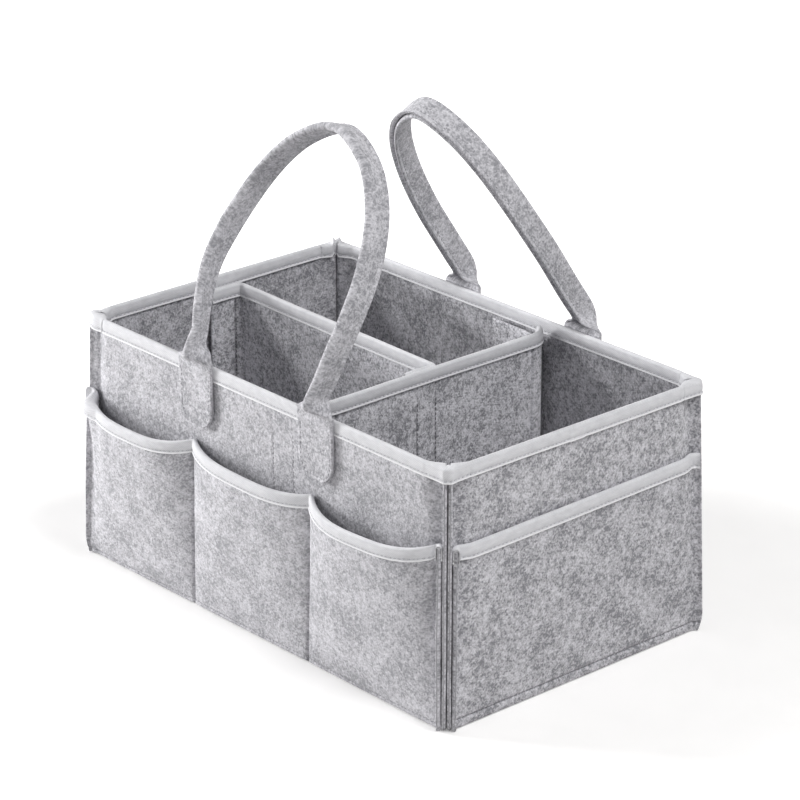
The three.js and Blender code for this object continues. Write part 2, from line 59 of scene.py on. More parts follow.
# Basket, as the model has it
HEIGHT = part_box("rim_binding")[1].z
RIM_LENGTH = 377.8 * MM
RIM_WIDTH = 232.2 * MM
SPLAY = 5 * MM
LONG_SIDE_BOW = 6.2 * MM
END_BOW = 5.4 * MM
BOW_RUN = 14 * MM
FELT = 2.5 * MM
CLEARANCE = 0.3 * MM
TAPE = 0.6 * MM
WRAP = TAPE + CLEARANCE
SEAM_REACH = 9.5 * MM
SEAM_TIP = SEAM_REACH * SQRT_HALF
INSIDE_X = RIM_LENGTH / 2 - (SEAM_REACH + WRAP) * SQRT_HALF
INSIDE_Y = RIM_WIDTH / 2 - (SEAM_REACH + WRAP) * SQRT_HALF
LAYER_OVER_TAPE = FELT + WRAP + CLEARANCE
PANEL_TOP = HEIGHT - WRAP

# Felt, as it is cut and sewn
CUT_ROUNDING = 0.4  # share of the thickness over which a cut edge rounds off
SEAM_BEND = 3.2 * MM
PRESSED_OVER = math.radians(24)  # the front left seam
PRESSED_RUN = 6 * MM
FIN_ROUND = 15 * MM  # the ends of the corner seams are trimmed round over this height
FIN_TRIM = 0.7
FIN_SPREAD = 1.5 * MM  # the raw layers of a corner seam spring apart by this much at the tips
WALL_SPREAD = 0.7 * MM
PRESSED_LAYERS = 0.8 * MM  # a pocket is pressed this much closer to the wall inside the seam
FRONT_SEAM = 3.8 * MM  # the stitches along the floor, above the cut edge
END_SEAM = 6.8 * MM
BOTTOM_RAISED = 0.5 * MM  # the outer layer ends this far above the floor
GROOVE_WIDTH = 0.9 * MM
STRIP_SEAM_DEPTH = 0.25 * MM
POCKET_SEAM_DEPTH = 1.2 * MM
FRONT_SEAM_DEPTH = 0.7 * MM
END_SEAM_DEPTH = 1.3 * MM
VALLEY = 0.4 * MM  # both layers draw in by this much round a pocket seam
VALLEY_WIDTH = 4  # in groove widths
PATH_STEP = 2 * MM  # between the points of a line of stitches
FINE_PATH_STEP = 1.5 * MM  # and where the cloth curves

# How uneven the cloth lies, and how far from a corner seam it is fully so
RIPPLE_WAVES = (170 * MM, 95 * MM, 58 * MM)
BOTTOM_RIPPLE = 0.15 * MM
WALL_RIPPLE = 0.25 * MM
END_POCKET_RIPPLE = 0.3 * MM
DIVIDER_RIPPLE = 0.35 * MM
POCKET_RIPPLE = 0.5 * MM
TAPE_WANDER = 0.3 * MM
RIPPLE_RUN = 25 * MM
END_RIPPLE_RUN = 20 * MM

# How finely the cloth is divided, and more finely across a seam, a bend or a corner's fin
PANEL_STEP = 5 * MM
BOTTOM_STEP = 6 * MM
POCKET_STEPS = (3 * MM, 4 * MM)  # along and up
STRIP_STEPS = (2 * MM, 4 * MM)
STRAP_STEP = 3.5 * MM
SEAM_STEP = 0.5 * MM
POCKET_SEAM_STEP = 0.45 * MM
FIN_STEP = 0.8 * MM
FIN_ROUND_STEP = 1.5 * MM
BEND_STEP = 0.75 * MM
TAPE_STEP = 0.9 * MM
SEAM_REGION = 3 * GROOVE_WIDTH

# Binding tape
BINDING_DEPTH = 10 * MM
ARCH_HEIGHT = 2.2 * MM
HEM = 0.5 * MM  # the turned-under edge stands this proud of the tape
HEM_WIDTH = 0.8 * MM
STITCH_FROM_HEM = 2 * MM
STITCH_DENT = 0.4 * MM
TAPE_PUFF = 0.35 * MM
PUCKER = 0.4  # share of the dent that comes and goes with each stitch
LINING_POINTS = 4
CORNER_NOTCH = 3 * MM  # the tape dips into the seam at an inside corner
CORNER_TIPS = 2.8 * MM  # how far its cut ends poke up at the back left corner
TIP_FROM_CORNER, TIP_WIDTH = 2.4 * MM, 1.5 * MM
TAPE_INSETS = (0.4 * MM, 0.3 * MM)  # from the ends of its cloth
TAPE_LAP = 14 * MM
TAPE_END_U = 3 * MM  # the tape's end lies this far past the middle of the right end
TAPE_FACE = 1 + 2 * (WRAP - 0.3 * STITCH_DENT) / FELT  # in half thicknesses of the felt

# Thread
STITCH_PITCH = 3.6 * MM
STITCH_LENGTH = 2.7 * MM
THREAD = 0.32 * MM  # radius
STITCH_IN_PILE = 0.4  # how far out in a hook or loop tape its stitches lie: 1 is its face
CREASE_SEAM_FACE = -0.8  # the seam in a crease lies a little below the felt's inner face; its dark thread is partly painted shade, the crease's shadow line

# Pockets
POCKET_HEIGHT = 130.5 * MM
POCKET_BULGE = (14 * MM, 11 * MM, 14 * MM)
POCKET_SAG = (7 * MM, 4 * MM, 7 * MM)
END_POCKET_SLACK = 0.6 * MM
FULLNESS_POWER = 3
RISE_POWER = 0.85
# Where the two pocket seams of the front meet the mouth and the floor, and how far the mouth is
# pulled down at its left end, at the two seams and at its right end
SEAMS_AT_MOUTH = (-66 * MM, 58 * MM)
SEAMS_AT_FLOOR = (-69 * MM, 51.2 * MM)
MOUTH_DROP = (1.8 * MM, 2.8 * MM, 3.7 * MM, -1.6 * MM)
BACK_MOUTH_DROP = (0, 3.5 * MM, 3.5 * MM, 0)
RIGHT_MOUTH = (0.7 * MM, -3 * MM)  # the end pocket's mouth climbs towards the back

# Dividers
CROSS_X = 49.3 * MM
CROSS_FLAP = 60 * MM
CROSS_BEND = 18 * MM
CROSS_DROP = 1 * MM
CROSS_HELD = 12 * MM  # from where a flap leaves the panel to where it lies on its wall
CROSS_SEAMS = (-18 * MM, -1 * MM)  # of the hook tape behind it, from the panel's middle
CROSS_CREASE_Y = 90.6 * MM
FLAP_BOUND = -9 * MM  # how far past the bend the tape runs on
FLAP_DROP = 9 * MM
LONG_AT_WALL = 17 * MM
LONG_AT_CROSS = 4 * MM
LONG_FLAP = 28 * MM
LONG_BEND = 3 * MM
LONG_HELD = 8 * MM
LONG_CREASE = 2.8 * MM  # past the bend
LONG_TOP_AT_WALL = 177.5 * MM
LONG_TOP_AT_CROSS = 183.2 * MM
CREASE_DEPTH = 1.8 * MM
INNER_CREASE_DEPTH = 1.9 * MM
STRIP_WIDTH = 20 * MM
STRIP_THICKNESS = 1.2 * MM
STRIP_FOOT = 25 * MM
STRIP_HEIGHT = 140 * MM
STRIP_MARGIN = 1.5 * MM  # from a strip's edge to its stitches
STRIP_END_MARGIN = 2 * MM
STRIP_FROM_BEND = 4 * MM
CROSS_STRIP_X = 26.5 * MM
FRONT_STRIP_SEAMS = (-10.3 * MM, 10.4 * MM)  # from the middle of the tape that they hold
FLAP_STANDOFF = 2 * STRIP_THICKNESS + 3 * CLEARANCE

# Handles
STRAP_FELT = 2.8 * MM
STRAP_THICKNESS = 5.8 * MM
STRAP_BEND = (STRAP_THICKNESS - STRAP_FELT) / 2
STRAP_HALF_WIDTH = 17.9 * MM
STRAP_MARGIN = 3.8 * MM  # from the stitches to the open edges
STITCHED_DENT = 0.7 * MM
EDGE_FLARE = 1 * MM  # beyond the stitches the two open edges stand apart
TAB_LENGTH = 47 * MM
TAB_CORNER = 14 * MM
TAB_SETTLE = 0.6 * MM
TAB_CURL = 0.9 * MM  # a tab's cut edges stand off the wall by this much more
TAB_CURL_RUN = 5 * MM
TAB_MARGIN = 3 * MM  # from a tab's edge to its stitches
TAB_SEAM_TOP = TAB_LENGTH - 0.6 * BINDING_DEPTH
FOLD_LENGTH = 13 * MM
RIDGE_LENGTH = 5 * MM
RIDGE_BULGE = 0.2  # how much further out it stands just above the seam
FOOT_Y = INSIDE_Y + LONG_SIDE_BOW + LAYER_OVER_TAPE + FELT
LEAN_AT = (0, 0.15, 0.45, 1)  # shares of the rise where the lean is given, in degrees
SPREAD_AT = (0.2, 0.4, 0.62, 0.8, 0.93)  # and the loop's half width, as a share of that at its foot
# A twist is given for each leg, as the millimetres above the rim and the degrees there
FRONT_HANDLE = {
    "side": -1, "middle": 0.4 * MM, "half_span": 63 * MM, "rise": 184.5 * MM, "skew": 4 * MM,
    "lean": (7, 17, 35, 19), "spread": (1.12, 1.17, 1.065, 0.84, 0.49), "ridge_out": 9.6 * MM,
    "twist": (((0, 24, 50, 80, 100), (0, -28, -20, -8, 0)), ((60, 110, 150, 175), (0, -7, -5, 0))),
}
BACK_HANDLE = {
    "side": 1, "middle": 8.5 * MM, "half_span": 61.7 * MM, "rise": 191.2 * MM, "skew": -3 * MM,
    "lean": (9, 34, 33, 26.5), "spread": (0.985, 0.978, 0.882, 0.702, 0.418),
    "ridge_out": 10.2 * MM, "twist": (((0, 1), (0, 0)), ((0, 1), (0, 0))),
}


# Small sums that everything uses
def bell(value):
    return np.exp(-(value ** 2))


def groove(distance):
    """How far a line of stitches pulls the cloth in, as a share of its depth there."""
    return bell(distance / GROOVE_WIDTH)


def smooth_step(value):
    value = np.clip(value, 0, 1)
    return value * value * (3 - 2 * value)


def unit(vectors):
    return vectors / np.linalg.norm(vectors, axis=-1, keepdims=True)


def turned(vector, angle):
    c, s = math.cos(angle), math.sin(angle)
    return np.array([c * vector[0] - s * vector[1], s * vector[0] + c * vector[1]])


def running(points):
    """How far along a line of points each of them lies."""
    return np.concatenate([[0], np.cumsum(np.linalg.norm(np.diff(points, axis=0), axis=1))])


def read_off(at, along, table):
    """The rows of a table given along a line, read off at some distances."""
    return np.stack([np.interp(at, along, column) for column in table.T], -1)


def tape_section():
    """The binding tape's cross-section as (depth below its top, offset from the cloth's middle,
    stitch dent): first its skin from hem to hem, and then its lining."""
    face = FELT / 2 + CLEARANCE
    flat = BINDING_DEPTH - ARCH_HEIGHT - STITCH_FROM_HEM
    leg = []
    for below in np.linspace(BINDING_DEPTH, ARCH_HEIGHT, 19)[:-1]:
        from_hem = BINDING_DEPTH - below
        proud = HEM * bell((from_hem - 0.6 * HEM_WIDTH) / HEM_WIDTH)
        dent = STITCH_DENT * bell((from_hem - STITCH_FROM_HEM) / (0.7 * HEM_WIDTH))
        share = np.clip((from_hem - STITCH_FROM_HEM) / flat, 0, 1)
        leg.append((below, face + TAPE + proud + TAPE_PUFF * math.sin(HALF_TURN * share), dent))
    arch = [(ARCH_HEIGHT * (1 - math.sin(angle)), (face + TAPE) * math.cos(angle), 0)
            for angle in np.linspace(0, HALF_TURN, 15)]
    lining = [(below, face, 0) for below in np.linspace(BINDING_DEPTH, WRAP + TAPE, LINING_POINTS)]
    other_leg = [(below, -offset, dent) for below, offset, dent in reversed(leg)]
    other_lining = [(below, -offset, 0) for below, offset, _ in lining]
    return np.array(leg + arch + other_leg + other_lining + lining[::-1]).T


# Materials
def linear(hex_colour):
    """An sRGB hex colour as the linear values that Blender's sockets take."""
    channels = [int(hex_colour[i:i + 2], 16) / 255 for i in (1, 3, 5)]
    return [c / 12.92 if c <= 0.04045 else ((c + 0.055) / 1.055) ** 2.4 for c in channels] + [1]


def add(tree, kind, inputs=(), **settings):
    """Adds a node, sets its settings, and sets or links its inputs."""
    node = tree.nodes.new(kind)
    for setting, value in settings.items():
        setattr(node, setting, value)
    for socket, value in dict(inputs).items():
        if isinstance(value, bpy.types.NodeSocket):
            tree.links.new(value, node.inputs[socket])
        else:
            node.inputs[socket].default_value = value
    return node


def new_material(name):
    material = bpy.data.materials.new(name)
    material.use_nodes = True
    tree = material.node_tree
    tree.nodes.clear()
    return material, tree


def cloth_millimetres(tree, size=1, turn=0):
    """The cloth's own coordinates in millimetres, turned and divided by a pattern's size."""
    uv = add(tree, "ShaderNodeTexCoord").outputs["UV"]
    along, across = np.broadcast_to(size, 2)
    place = add(tree, "ShaderNodeMapping", {"Vector": uv, "Rotation": (0, 0, turn)}).outputs[0]
    scale = (1 / MM / along, 1 / MM / across, 1)
    return add(tree, "ShaderNodeMapping", {"Vector": place, "Scale": scale}).outputs[0]


def cloth_noise(tree, size, detail, roughness=0.5, turn=0, distortion=0):
    """Noise on the cloth, whose grains have this size in millimetres, or along and across."""
    settings = {"Vector": cloth_millimetres(tree, size, turn), "Scale": 1, "Detail": detail,
                "Roughness": roughness, "Distortion": distortion}
    return add(tree, "ShaderNodeTexNoise", settings, noise_dimensions="2D").outputs[0]


def cloth_ribs(tree, pitch, turn, settings):
    """Ribs that run across the cloth, this many millimetres apart."""
    wave = {"Vector": cloth_millimetres(tree, 1, turn), "Scale": HALF_TURN / pitch / 10, **settings}
    return add(tree, "ShaderNodeTexWave", wave, wave_type="BANDS").outputs["Fac"]


def arithmetic(tree, operation, first, second=0):
    return add(tree, "ShaderNodeMath", {0: first, 1: second}, operation=operation).outputs[0]


def weighed(tree, *terms):
    """The sum of some values, each times its weight."""
    parts = [arithmetic(tree, "MULTIPLY", value, weight) for value, weight in terms]
    total = parts[0]
    for part in parts[1:]:
        total = arithmetic(tree, "ADD", total, part)
    return total


def spread(tree, value, low, high):
    """Stretches the values between low and high to run from 0 to 1."""
    limits = {"Value": value, "From Min": low, "From Max": high}
    return add(tree, "ShaderNodeMapRange", limits).outputs[0]


def mixed(tree, factor, first, second):
    """A mix of two colours. A Mix node keeps them in its inputs 6 and 7, and gives output 2."""
    return add(tree, "ShaderNodeMix", {0: factor, 6: first, 7: second}, data_type="RGBA").outputs[2]


def shaded(tree, colour, height, relief, roughness, sheen):
    bump = add(tree, "ShaderNodeBump", {"Height": height, "Strength": 1, "Distance": relief})
    surface = add(tree, "ShaderNodeBsdfPrincipled", {
        "Base Color": colour, "Roughness": roughness, "Specular IOR Level": 0.2,
        "Sheen Weight": sheen, "Sheen Roughness": 0.5, "Normal": bump.outputs[0],
    })
    add(tree, "ShaderNodeOutputMaterial", {"Surface": surface.outputs[0]})


def heather_felt(name, dark, middle, pale, patchy):
    """Needle-punched polyester felt in a heather mix: short dark and pale fibres lie every way in
    a grey ground, some curl into dark hairs, and the matt surface has a fine tangled nap. A real
    fibre is 0.02 mm thick, so tufts of fibres are drawn instead."""
    material, tree = new_material(name)
    tuft, ways = (4.2, 1.25), 4
    strands = []
    for i in range(ways):
        lie = HALF_TURN * (i + 0.3) / ways
        strand = spread(tree, cloth_noise(tree, tuft, 1.5, turn=lie, distortion=0.4), 0.3, 0.72)
        strands.append((strand, 1 / ways))
    fibres = weighed(tree, *strands)
    clouds = cloth_noise(tree, 26, 3, 0.6)
    patches = cloth_noise(tree, 5.5, 2)
    nap = cloth_noise(tree, 1.9, 2, 0.6)
    curls = cloth_noise(tree, 4.6, 1, turn=0.7, distortion=0.5)
    from_curl = arithmetic(tree, "ABSOLUTE", arithmetic(tree, "SUBTRACT", curls, 0.5))
    some = spread(tree, cloth_noise(tree, 3.2, 1), 0.52, 0.6)
    hair = arithmetic(tree, "MULTIPLY", spread(tree, from_curl, 0.035, 0), some)
    tone = weighed(tree, (fibres, 0.62), (clouds, 0.4), (patches, patchy), (nap, 0.22))
    tone = spread(tree, tone, 0.44 + patchy / 2, 0.82 + patchy / 2)
    ramp = add(tree, "ShaderNodeValToRGB", {"Fac": weighed(tree, (tone, 1), (hair, -0.35))})
    ramp.color_ramp.elements[0].color = linear(dark)
    ramp.color_ramp.elements[1].color = linear(pale)
    ramp.color_ramp.elements.new(0.5).color = linear(middle)
    height = weighed(tree, (fibres, 1), (nap, 0.6))
    shaded(tree, ramp.outputs[0], height, relief=0.35 * MM, roughness=0.95, sheen=0.25)
    return material


def woven_tape(name, shadow, ground, hem_highlight):
    """Polyester twill binding tape: fine diagonal ribs, drawn 1.1 mm apart so that they show, and a
    paler band along each hem, a painted highlight where the folded hem catches the light."""
    material, tree = new_material(name)
    twill = cloth_ribs(tree, 1.1, HALF_TURN / 4, {"Distortion": 0.6, "Detail": 1})
    wear = cloth_noise(tree, (9, 4), 3)
    slub = cloth_noise(tree, (3, 0.7), 2)
    tone = spread(tree, weighed(tree, (twill, 0.25), (wear, 0.6), (slub, 0.3)), 0.3, 0.85)
    colour = mixed(tree, tone, linear(shadow), linear(ground))
    uv = add(tree, "ShaderNodeTexCoord").outputs["UV"]
    across = add(tree, "ShaderNodeSeparateXYZ", {0: uv}).outputs[1]
    across = arithmetic(tree, "FRACT", across)  # a piece's pattern starts at a whole metre
    other_hem = arithmetic(tree, "ABSOLUTE", arithmetic(tree, "SUBTRACT", across, tape_width()))
    edge = spread(tree, arithmetic(tree, "MINIMUM", across, other_hem), 1.5 * HEM_WIDTH, HEM_WIDTH)
    # The hems are painted paler than the tape: a painted highlight
    colour = mixed(tree, edge, colour, linear(hem_highlight))
    height = weighed(tree, (twill, 1), (slub, 0.5))
    shaded(tree, colour, height, relief=0.08 * MM, roughness=0.7, sheen=0.15)
    return material


def tape_width():
    """The length of the tape's skin in its cross-section, from hem to hem."""
    section = tape_section()[:2, :-2 * LINING_POINTS]
    return float(running(section.T)[-1])


def spun_thread(name, shadow, ground):
    """Two-ply polyester sewing thread: the plies twist round each other every 1.2 mm."""
    material, tree = new_material(name)
    plies = cloth_ribs(tree, 1.2, HALF_TURN / 5, {"Distortion": 0.3})
    colour = mixed(tree, plies, linear(shadow), linear(ground))
    shaded(tree, colour, plies, relief=0.06 * MM, roughness=0.55, sheen=0.1)
    return material


def hook_and_loop(name, shadow, ground, pile):
    """Nylon hook-and-loop tape: rows of small stiff hooks or a tangle of loops on a woven
    ground."""
    material, tree = new_material(name)
    cells = {"Vector": cloth_millimetres(tree, pile), "Scale": 1, "Randomness": 0.6}
    pattern = add(tree, "ShaderNodeTexVoronoi", cells, voronoi_dimensions="2D")
    tangle = cloth_noise(tree, 1.2, 4, 0.7)
    tone = weighed(tree, (tangle, 1), (pattern.outputs["Distance"], -0.4))
    tone = spread(tree, tone, 0.1, 0.6)
    colour = mixed(tree, tone, linear(shadow), linear(ground))
    shaded(tree, colour, tone, relief=0.5 * MM, roughness=0.85, sheen=0.2)
    return material


felt = heather_felt("heather_felt", "#97979c", "#c1c0c5", "#dbdadf", 0.3)
# A darker copy of the same felt with stronger flecks: painted shade, on every wall but the front
# and on the end pockets
painted_shade_felt = heather_felt("heather_felt_of_the_ends", "#86868b", "#bdbcc1", "#dddce1", 0.4)
divider_felt = heather_felt("heather_felt_of_the_dividers", "#8c8c91", "#cecdd2", "#edecf1", 0.42)
# The last colour is the painted highlight along the hems
binding = woven_tape("twill_binding_tape", "#cbcbcf", "#e4e4e7", "#f6f6f8")
thread = spun_thread("grey_sewing_thread", "#85858a", "#b4b4b9")
# Thread painted dark: real stitches, darkened as painted shade for their needle holes and for the
# crease they lie in
shade_dark_thread = spun_thread("sewing_thread_darkened_for_painted_shade", "#4c4c51", "#6e6e73")
tape_thread = spun_thread("pale_sewing_thread", "#a9a9ae", "#d2d2d6")
hook_tape = hook_and_loop("nylon_hook_tape", "#6f6f74", "#a7a7ac", 1.4)
loop_tape = hook_and_loop("nylon_loop_tape", "#7c7c81", "#b5b5ba", 2.1)


# Plan lines that the cloth follows
def plan_line(corners, radii=()):
    """A line through the corners, rounded at each, as distances along it, places and normals."""
    corners = [np.array(corner, float) for corner in corners]
    places, headings = [corners[0]], [unit(corners[1] - corners[0])]
    for last, corner, following, radius in zip(corners, corners[1:], corners[2:], radii):
        before, after = unit(corner - last), unit(following - corner)
        turn = math.atan2(before[0] * after[1] - before[1] * after[0], before @ after)
        start = corner - before * radius * math.tan(abs(turn) / 2)
        centre = start + math.copysign(radius, turn) * np.array([-before[1], before[0]])
        steps = max(3, math.ceil(abs(turn) / math.radians(9)))
        for angle in np.linspace(0, turn, steps + 1):
            places.append(centre + turned(start - centre, angle))
            headings.append(turned(before, angle))
    places.append(corners[-1])
    headings.append(unit(corners[-1] - corners[-2]))
    places, headings = np.array(places), np.array(headings)
    normals = np.stack([headings[:, 1], -headings[:, 0]], 1)
    return {"along": running(places), "place": places, "normal": normals}


def follow(line, along):
    """Places and normals at some distances along a plan line."""
    place, normal = (read_off(along, line["along"], line[what]) for what in ("place", "normal"))
    return place, unit(normal)


def length_of(line):
    return line["along"][-1]


LONG_SIDE = {"half": INSIDE_X, "base": INSIDE_Y, "bow": LONG_SIDE_BOW, "width": RIM_WIDTH}
END = {"half": INSIDE_Y, "base": INSIDE_X, "bow": END_BOW, "width": RIM_LENGTH}
SIDES = {
    "front": {"turn": 0, **LONG_SIDE}, "right_end": {"turn": QUARTER, **END},
    "back": {"turn": HALF_TURN, **LONG_SIDE}, "left_end": {"turn": -QUARTER, **END},
}


def bow_out(side, u, z):
    """How far a wall bows out: not at all at its corner seams and at the floor, most at the rim."""
    return side["bow"] * smooth_step((side["half"] - np.abs(u)) / BOW_RUN) * z / HEIGHT


def wall_face(side, z):
    """How far the inner face of a wall lies from the middle, halfway along it."""
    splay = 1 + SPLAY / (side["width"] / 2) * (1 - z / HEIGHT)
    return (side["base"] + side["bow"] * z / HEIGHT) * splay


def on_side(side, u, out):
    """A plan point of a wall: u along it and out from its inner face."""
    return turned(np.array([u, -(side["base"] + out)]), side["turn"])


def seam_line(side, offset):
    """The plan line of a layer sewn to a wall, from seam tip to seam tip."""
    half = side["half"]
    at_tip = (half + SEAM_TIP - SQRT_HALF * offset, SEAM_TIP + SQRT_HALF * offset)
    at_corner = (half - (math.sqrt(2) - 1) * offset, offset)
    corners = [(-at_tip[0], at_tip[1]), (-at_corner[0], at_corner[1]), at_corner, at_tip]
    return plan_line([on_side(side, *corner) for corner in corners], [SEAM_BEND + offset / 3] * 2)


def pressed_seam(plan):
    """The seam at the front left corner lies over towards the left, in line with the front."""
    x, y = plan[..., 0] + INSIDE_X, plan[..., 1] + INSIDE_Y
    angle = PRESSED_OVER * smooth_step(-(x + y) * SQRT_HALF / PRESSED_RUN)
    c, s = np.cos(angle), np.sin(angle)
    return c * x + s * y - INSIDE_X, c * y - s * x - INSIDE_Y


def splayed(plan, z):
    """The walls lean out towards the floor, and carry what is sewn to them."""
    drop = 1 - z / HEIGHT
    x, y = pressed_seam(plan)
    x = x * (1 + SPLAY / (RIM_LENGTH / 2) * drop)
    y = y * (1 + SPLAY / (RIM_WIDTH / 2) * drop)
    return np.stack([x, y, z + 0 * x], -1)


def upright(plan, z):
    return np.concatenate([plan, z[..., None]], -1)


def ripple(along, z, seed, size):
    """A shallow unevenness of the cloth, of a few long waves."""
    waves = 0
    for i, wavelength in enumerate(RIPPLE_WAVES):
        angle = seed * 1.7 + i * 2.1
        across = along * math.cos(angle) + z * math.sin(angle)
        waves = waves + np.sin(2 * HALF_TURN * across / wavelength + seed * 2.3 + i) / (i + 1)
    return waves * size / 2


def clear_of_seams(side, u, reach):
    """0 at a wall's corner seams and 1 from this far inside them."""
    return np.clip((side["half"] - np.abs(u)) / reach, 0, 1)


# Cloth. A spot function gives the place of a point: how far along, how high, and how far through
# the thickness, from -1 at the inner face to 1 at the outer.
def cloth_spots(line, thickness, stand, swell=None, press=None, trim=None, press_in=None):
    def spot(along, z, through):
        given = (np.asarray(value, float) for value in (along, z, through))
        along, z, through = np.broadcast_arrays(*given)
        place, normal = follow(line, trim(along, z) if trim else along)
        out, drop = swell(along, z) if swell else (0, 0)
        offset = through * thickness / 2 + out
        if press:
            offset = offset - press(along, z) * np.clip((through + 1) / 2, 0, 1)
        if press_in:
            offset = offset + press_in(along, z) * np.clip((1 - through) / 2, 0, 1)
        return stand(place + normal * offset[..., None], z - drop)
    return spot


def stops(start, end, step, edge=0, fine=()):
    """Stations from start to end. With an edge, the cut edge's rounding gets its own stations,
    and so does each fine place, given as (where, reach, step)."""
    inner = np.linspace(start + edge, end - edge, max(2, math.ceil((end - start) / step)))
    extra = []
    if edge:
        shares = np.array([0, 0.12, 0.4])
        extra = [*(start + edge * shares), *(end - edge * shares)]
    for where, reach, fine_step in fine:
        count = 2 * math.ceil(reach / fine_step) + 1
        extra += list(np.linspace(where - reach, where + reach, count))
    every = np.sort(np.concatenate([inner, [v for v in extra if start <= v <= end]]))
    return every[np.concatenate([[True], np.diff(every) > 0.02 * MM])]


def edge_rounding(values, edge):
    """How much of its thickness the cloth keeps near a cut edge."""
    distance = np.minimum(values - values[0], values[-1] - values) / edge
    return np.sqrt(np.clip(1 - (1 - np.clip(distance, 0, 1)) ** 2, 0.08, 1))


def make_piece(name, points, faces, uvs, material, nodes=(), body=None):
    """A mesh piece that rides on a body and stands for model nodes."""
    mesh = bpy.data.meshes.new(name)
    mesh.from_pydata(points.tolist(), [], faces)
    layer = mesh.uv_layers.new(name="cloth")
    corners = np.empty(len(mesh.loops), int)
    mesh.loops.foreach_get("vertex_index", corners)
    layer.data.foreach_set("uv", uvs[corners].astype(np.float32).ravel())
    mesh.polygons.foreach_set("use_smooth", [True] * len(mesh.polygons))
    mesh.materials.append(material)
    mesh.update()
    piece = bpy.data.objects.new(name, mesh)
    bpy.context.scene.collection.objects.link(piece)
    if nodes:
        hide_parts(*nodes)
    if body:
        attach(piece, body)
    return piece


def pattern_shift(name):
    """A shift of the pattern by whole metres, so that no two pieces show the same cut of cloth."""
    return sum((i + 1) * ord(letter) for i, letter in enumerate(name)) % 97


def grid_faces(rows, columns):
    i, j = np.meshgrid(np.arange(rows - 1), np.arange(columns - 1), indexing="ij")
    corner = i * columns + j
    return np.stack([corner, corner + columns, corner + columns + 1, corner + 1], -1).reshape(-1, 4)


def rim_faces(rows, columns):
    """The narrow faces that close a sheet between its two grids."""
    index = np.arange(rows * columns).reshape(rows, columns)
    sides = [index[0, :-1], index[:-1, -1], index[-1, :0:-1], index[:0:-1, 0]]
    round_edge = np.concatenate(sides)
    following = np.roll(round_edge, -1)
    count = rows * columns
    return np.stack([round_edge, following, following + count, round_edge + count], 1)


def cut_sheet(name, spot, along, heights, thickness, material, nodes, body=None,
              taper=None, pattern=None, flip=False):
    """One thickness of cloth with rounded cut edges, closed all round. taper gives the share of
    the width that a strip keeps at each distance along it, and pattern names its cut of cloth."""
    edge = CUT_ROUNDING * thickness
    keep = edge_rounding(along, edge)[:, None] * edge_rounding(heights, edge)[None, :]
    s, z = np.meshgrid(along, heights, indexing="ij")
    rows, columns = s.shape
    points = np.concatenate([spot(s, z, side * keep).reshape(-1, 3) for side in (1, -1)])
    grid = grid_faces(rows, columns)
    faces = np.concatenate([grid, (grid + rows * columns)[:, ::-1], rim_faces(rows, columns)])
    if flip:
        faces = faces[:, ::-1]
    flat = np.stack([s, z * taper(s) if taper else z], -1).reshape(-1, 2)
    flat = flat + pattern_shift(pattern or name)
    uvs = np.concatenate([flat, flat + 0.5])
    return make_piece(name, points, faces.tolist(), uvs, material, nodes, body)


# Binding tape
def folded_tape(name, spot, along, top, nodes, body, closed=False, lap=None):
    """A tape folded over an edge. top(along) is the height of its fold, and lap says where its
    end lies over its start."""
    below, offset, dent = tape_section()
    s = along[:, None]
    pucker = 1 - PUCKER + PUCKER * np.cos(2 * HALF_TURN * s / STITCH_PITCH)
    wander = ripple(s, 0, pattern_shift(name), TAPE_WANDER)
    pressed = np.sign(offset) * dent * pucker
    if lap:
        skin = np.abs(offset) > FELT / 2 + WRAP - 0.1 * MM
        pressed = pressed - np.sign(offset) * skin * TAPE * ((s > lap[0]) & (s < lap[1]))
    through = (offset - pressed) / (FELT / 2)
    depth = below + wander * (below > ARCH_HEIGHT) * below / BINDING_DEPTH
    points = spot(s + 0 * depth, top(s) - depth, through)
    rows, columns = depth.shape
    round_section = running(np.stack([below, offset], 1))
    uvs = np.stack(np.broadcast_arrays(s, round_section[None, :]), -1).reshape(-1, 2)
    i, j = np.meshgrid(np.arange(rows - (not closed)), np.arange(columns), indexing="ij")
    start, following, beside = i * columns, (i + 1) % rows * columns, (j + 1) % columns
    faces = np.stack([start + j, start + beside, following + beside, following + j], -1)
    faces = faces.reshape(-1, 4).tolist()
    if not closed:
        faces += section_caps(rows, columns)
    return make_piece(name, points.reshape(-1, 3), faces, uvs + pattern_shift(name), binding,
                      nodes, body)


def tape_run(total, bare=0):
    """Distances along a tape, which stops just short of its cloth or leaves some of it bare."""
    return np.arange(bare + TAPE_INSETS[0], total - bare - TAPE_INSETS[1], TAPE_STEP)


def section_caps(rows, columns):
    """Closes the tape's two ends: its skin and its lining are two strips of a ladder."""
    outside = columns - 2 * LINING_POINTS
    per_rung = (2 * LINING_POINTS - 1) / (outside - 1)
    faces = []
    for first, flip in ((0, False), ((rows - 1) * columns, True)):
        lining = [first + columns - 1 - round(k * per_rung) for k in range(outside)]
        for k in range(outside - 1):
            corners = list(dict.fromkeys([first + k, first + k + 1, lining[k + 1], lining[k]]))
            faces.append(corners[::-1] if flip else corners)
    return faces


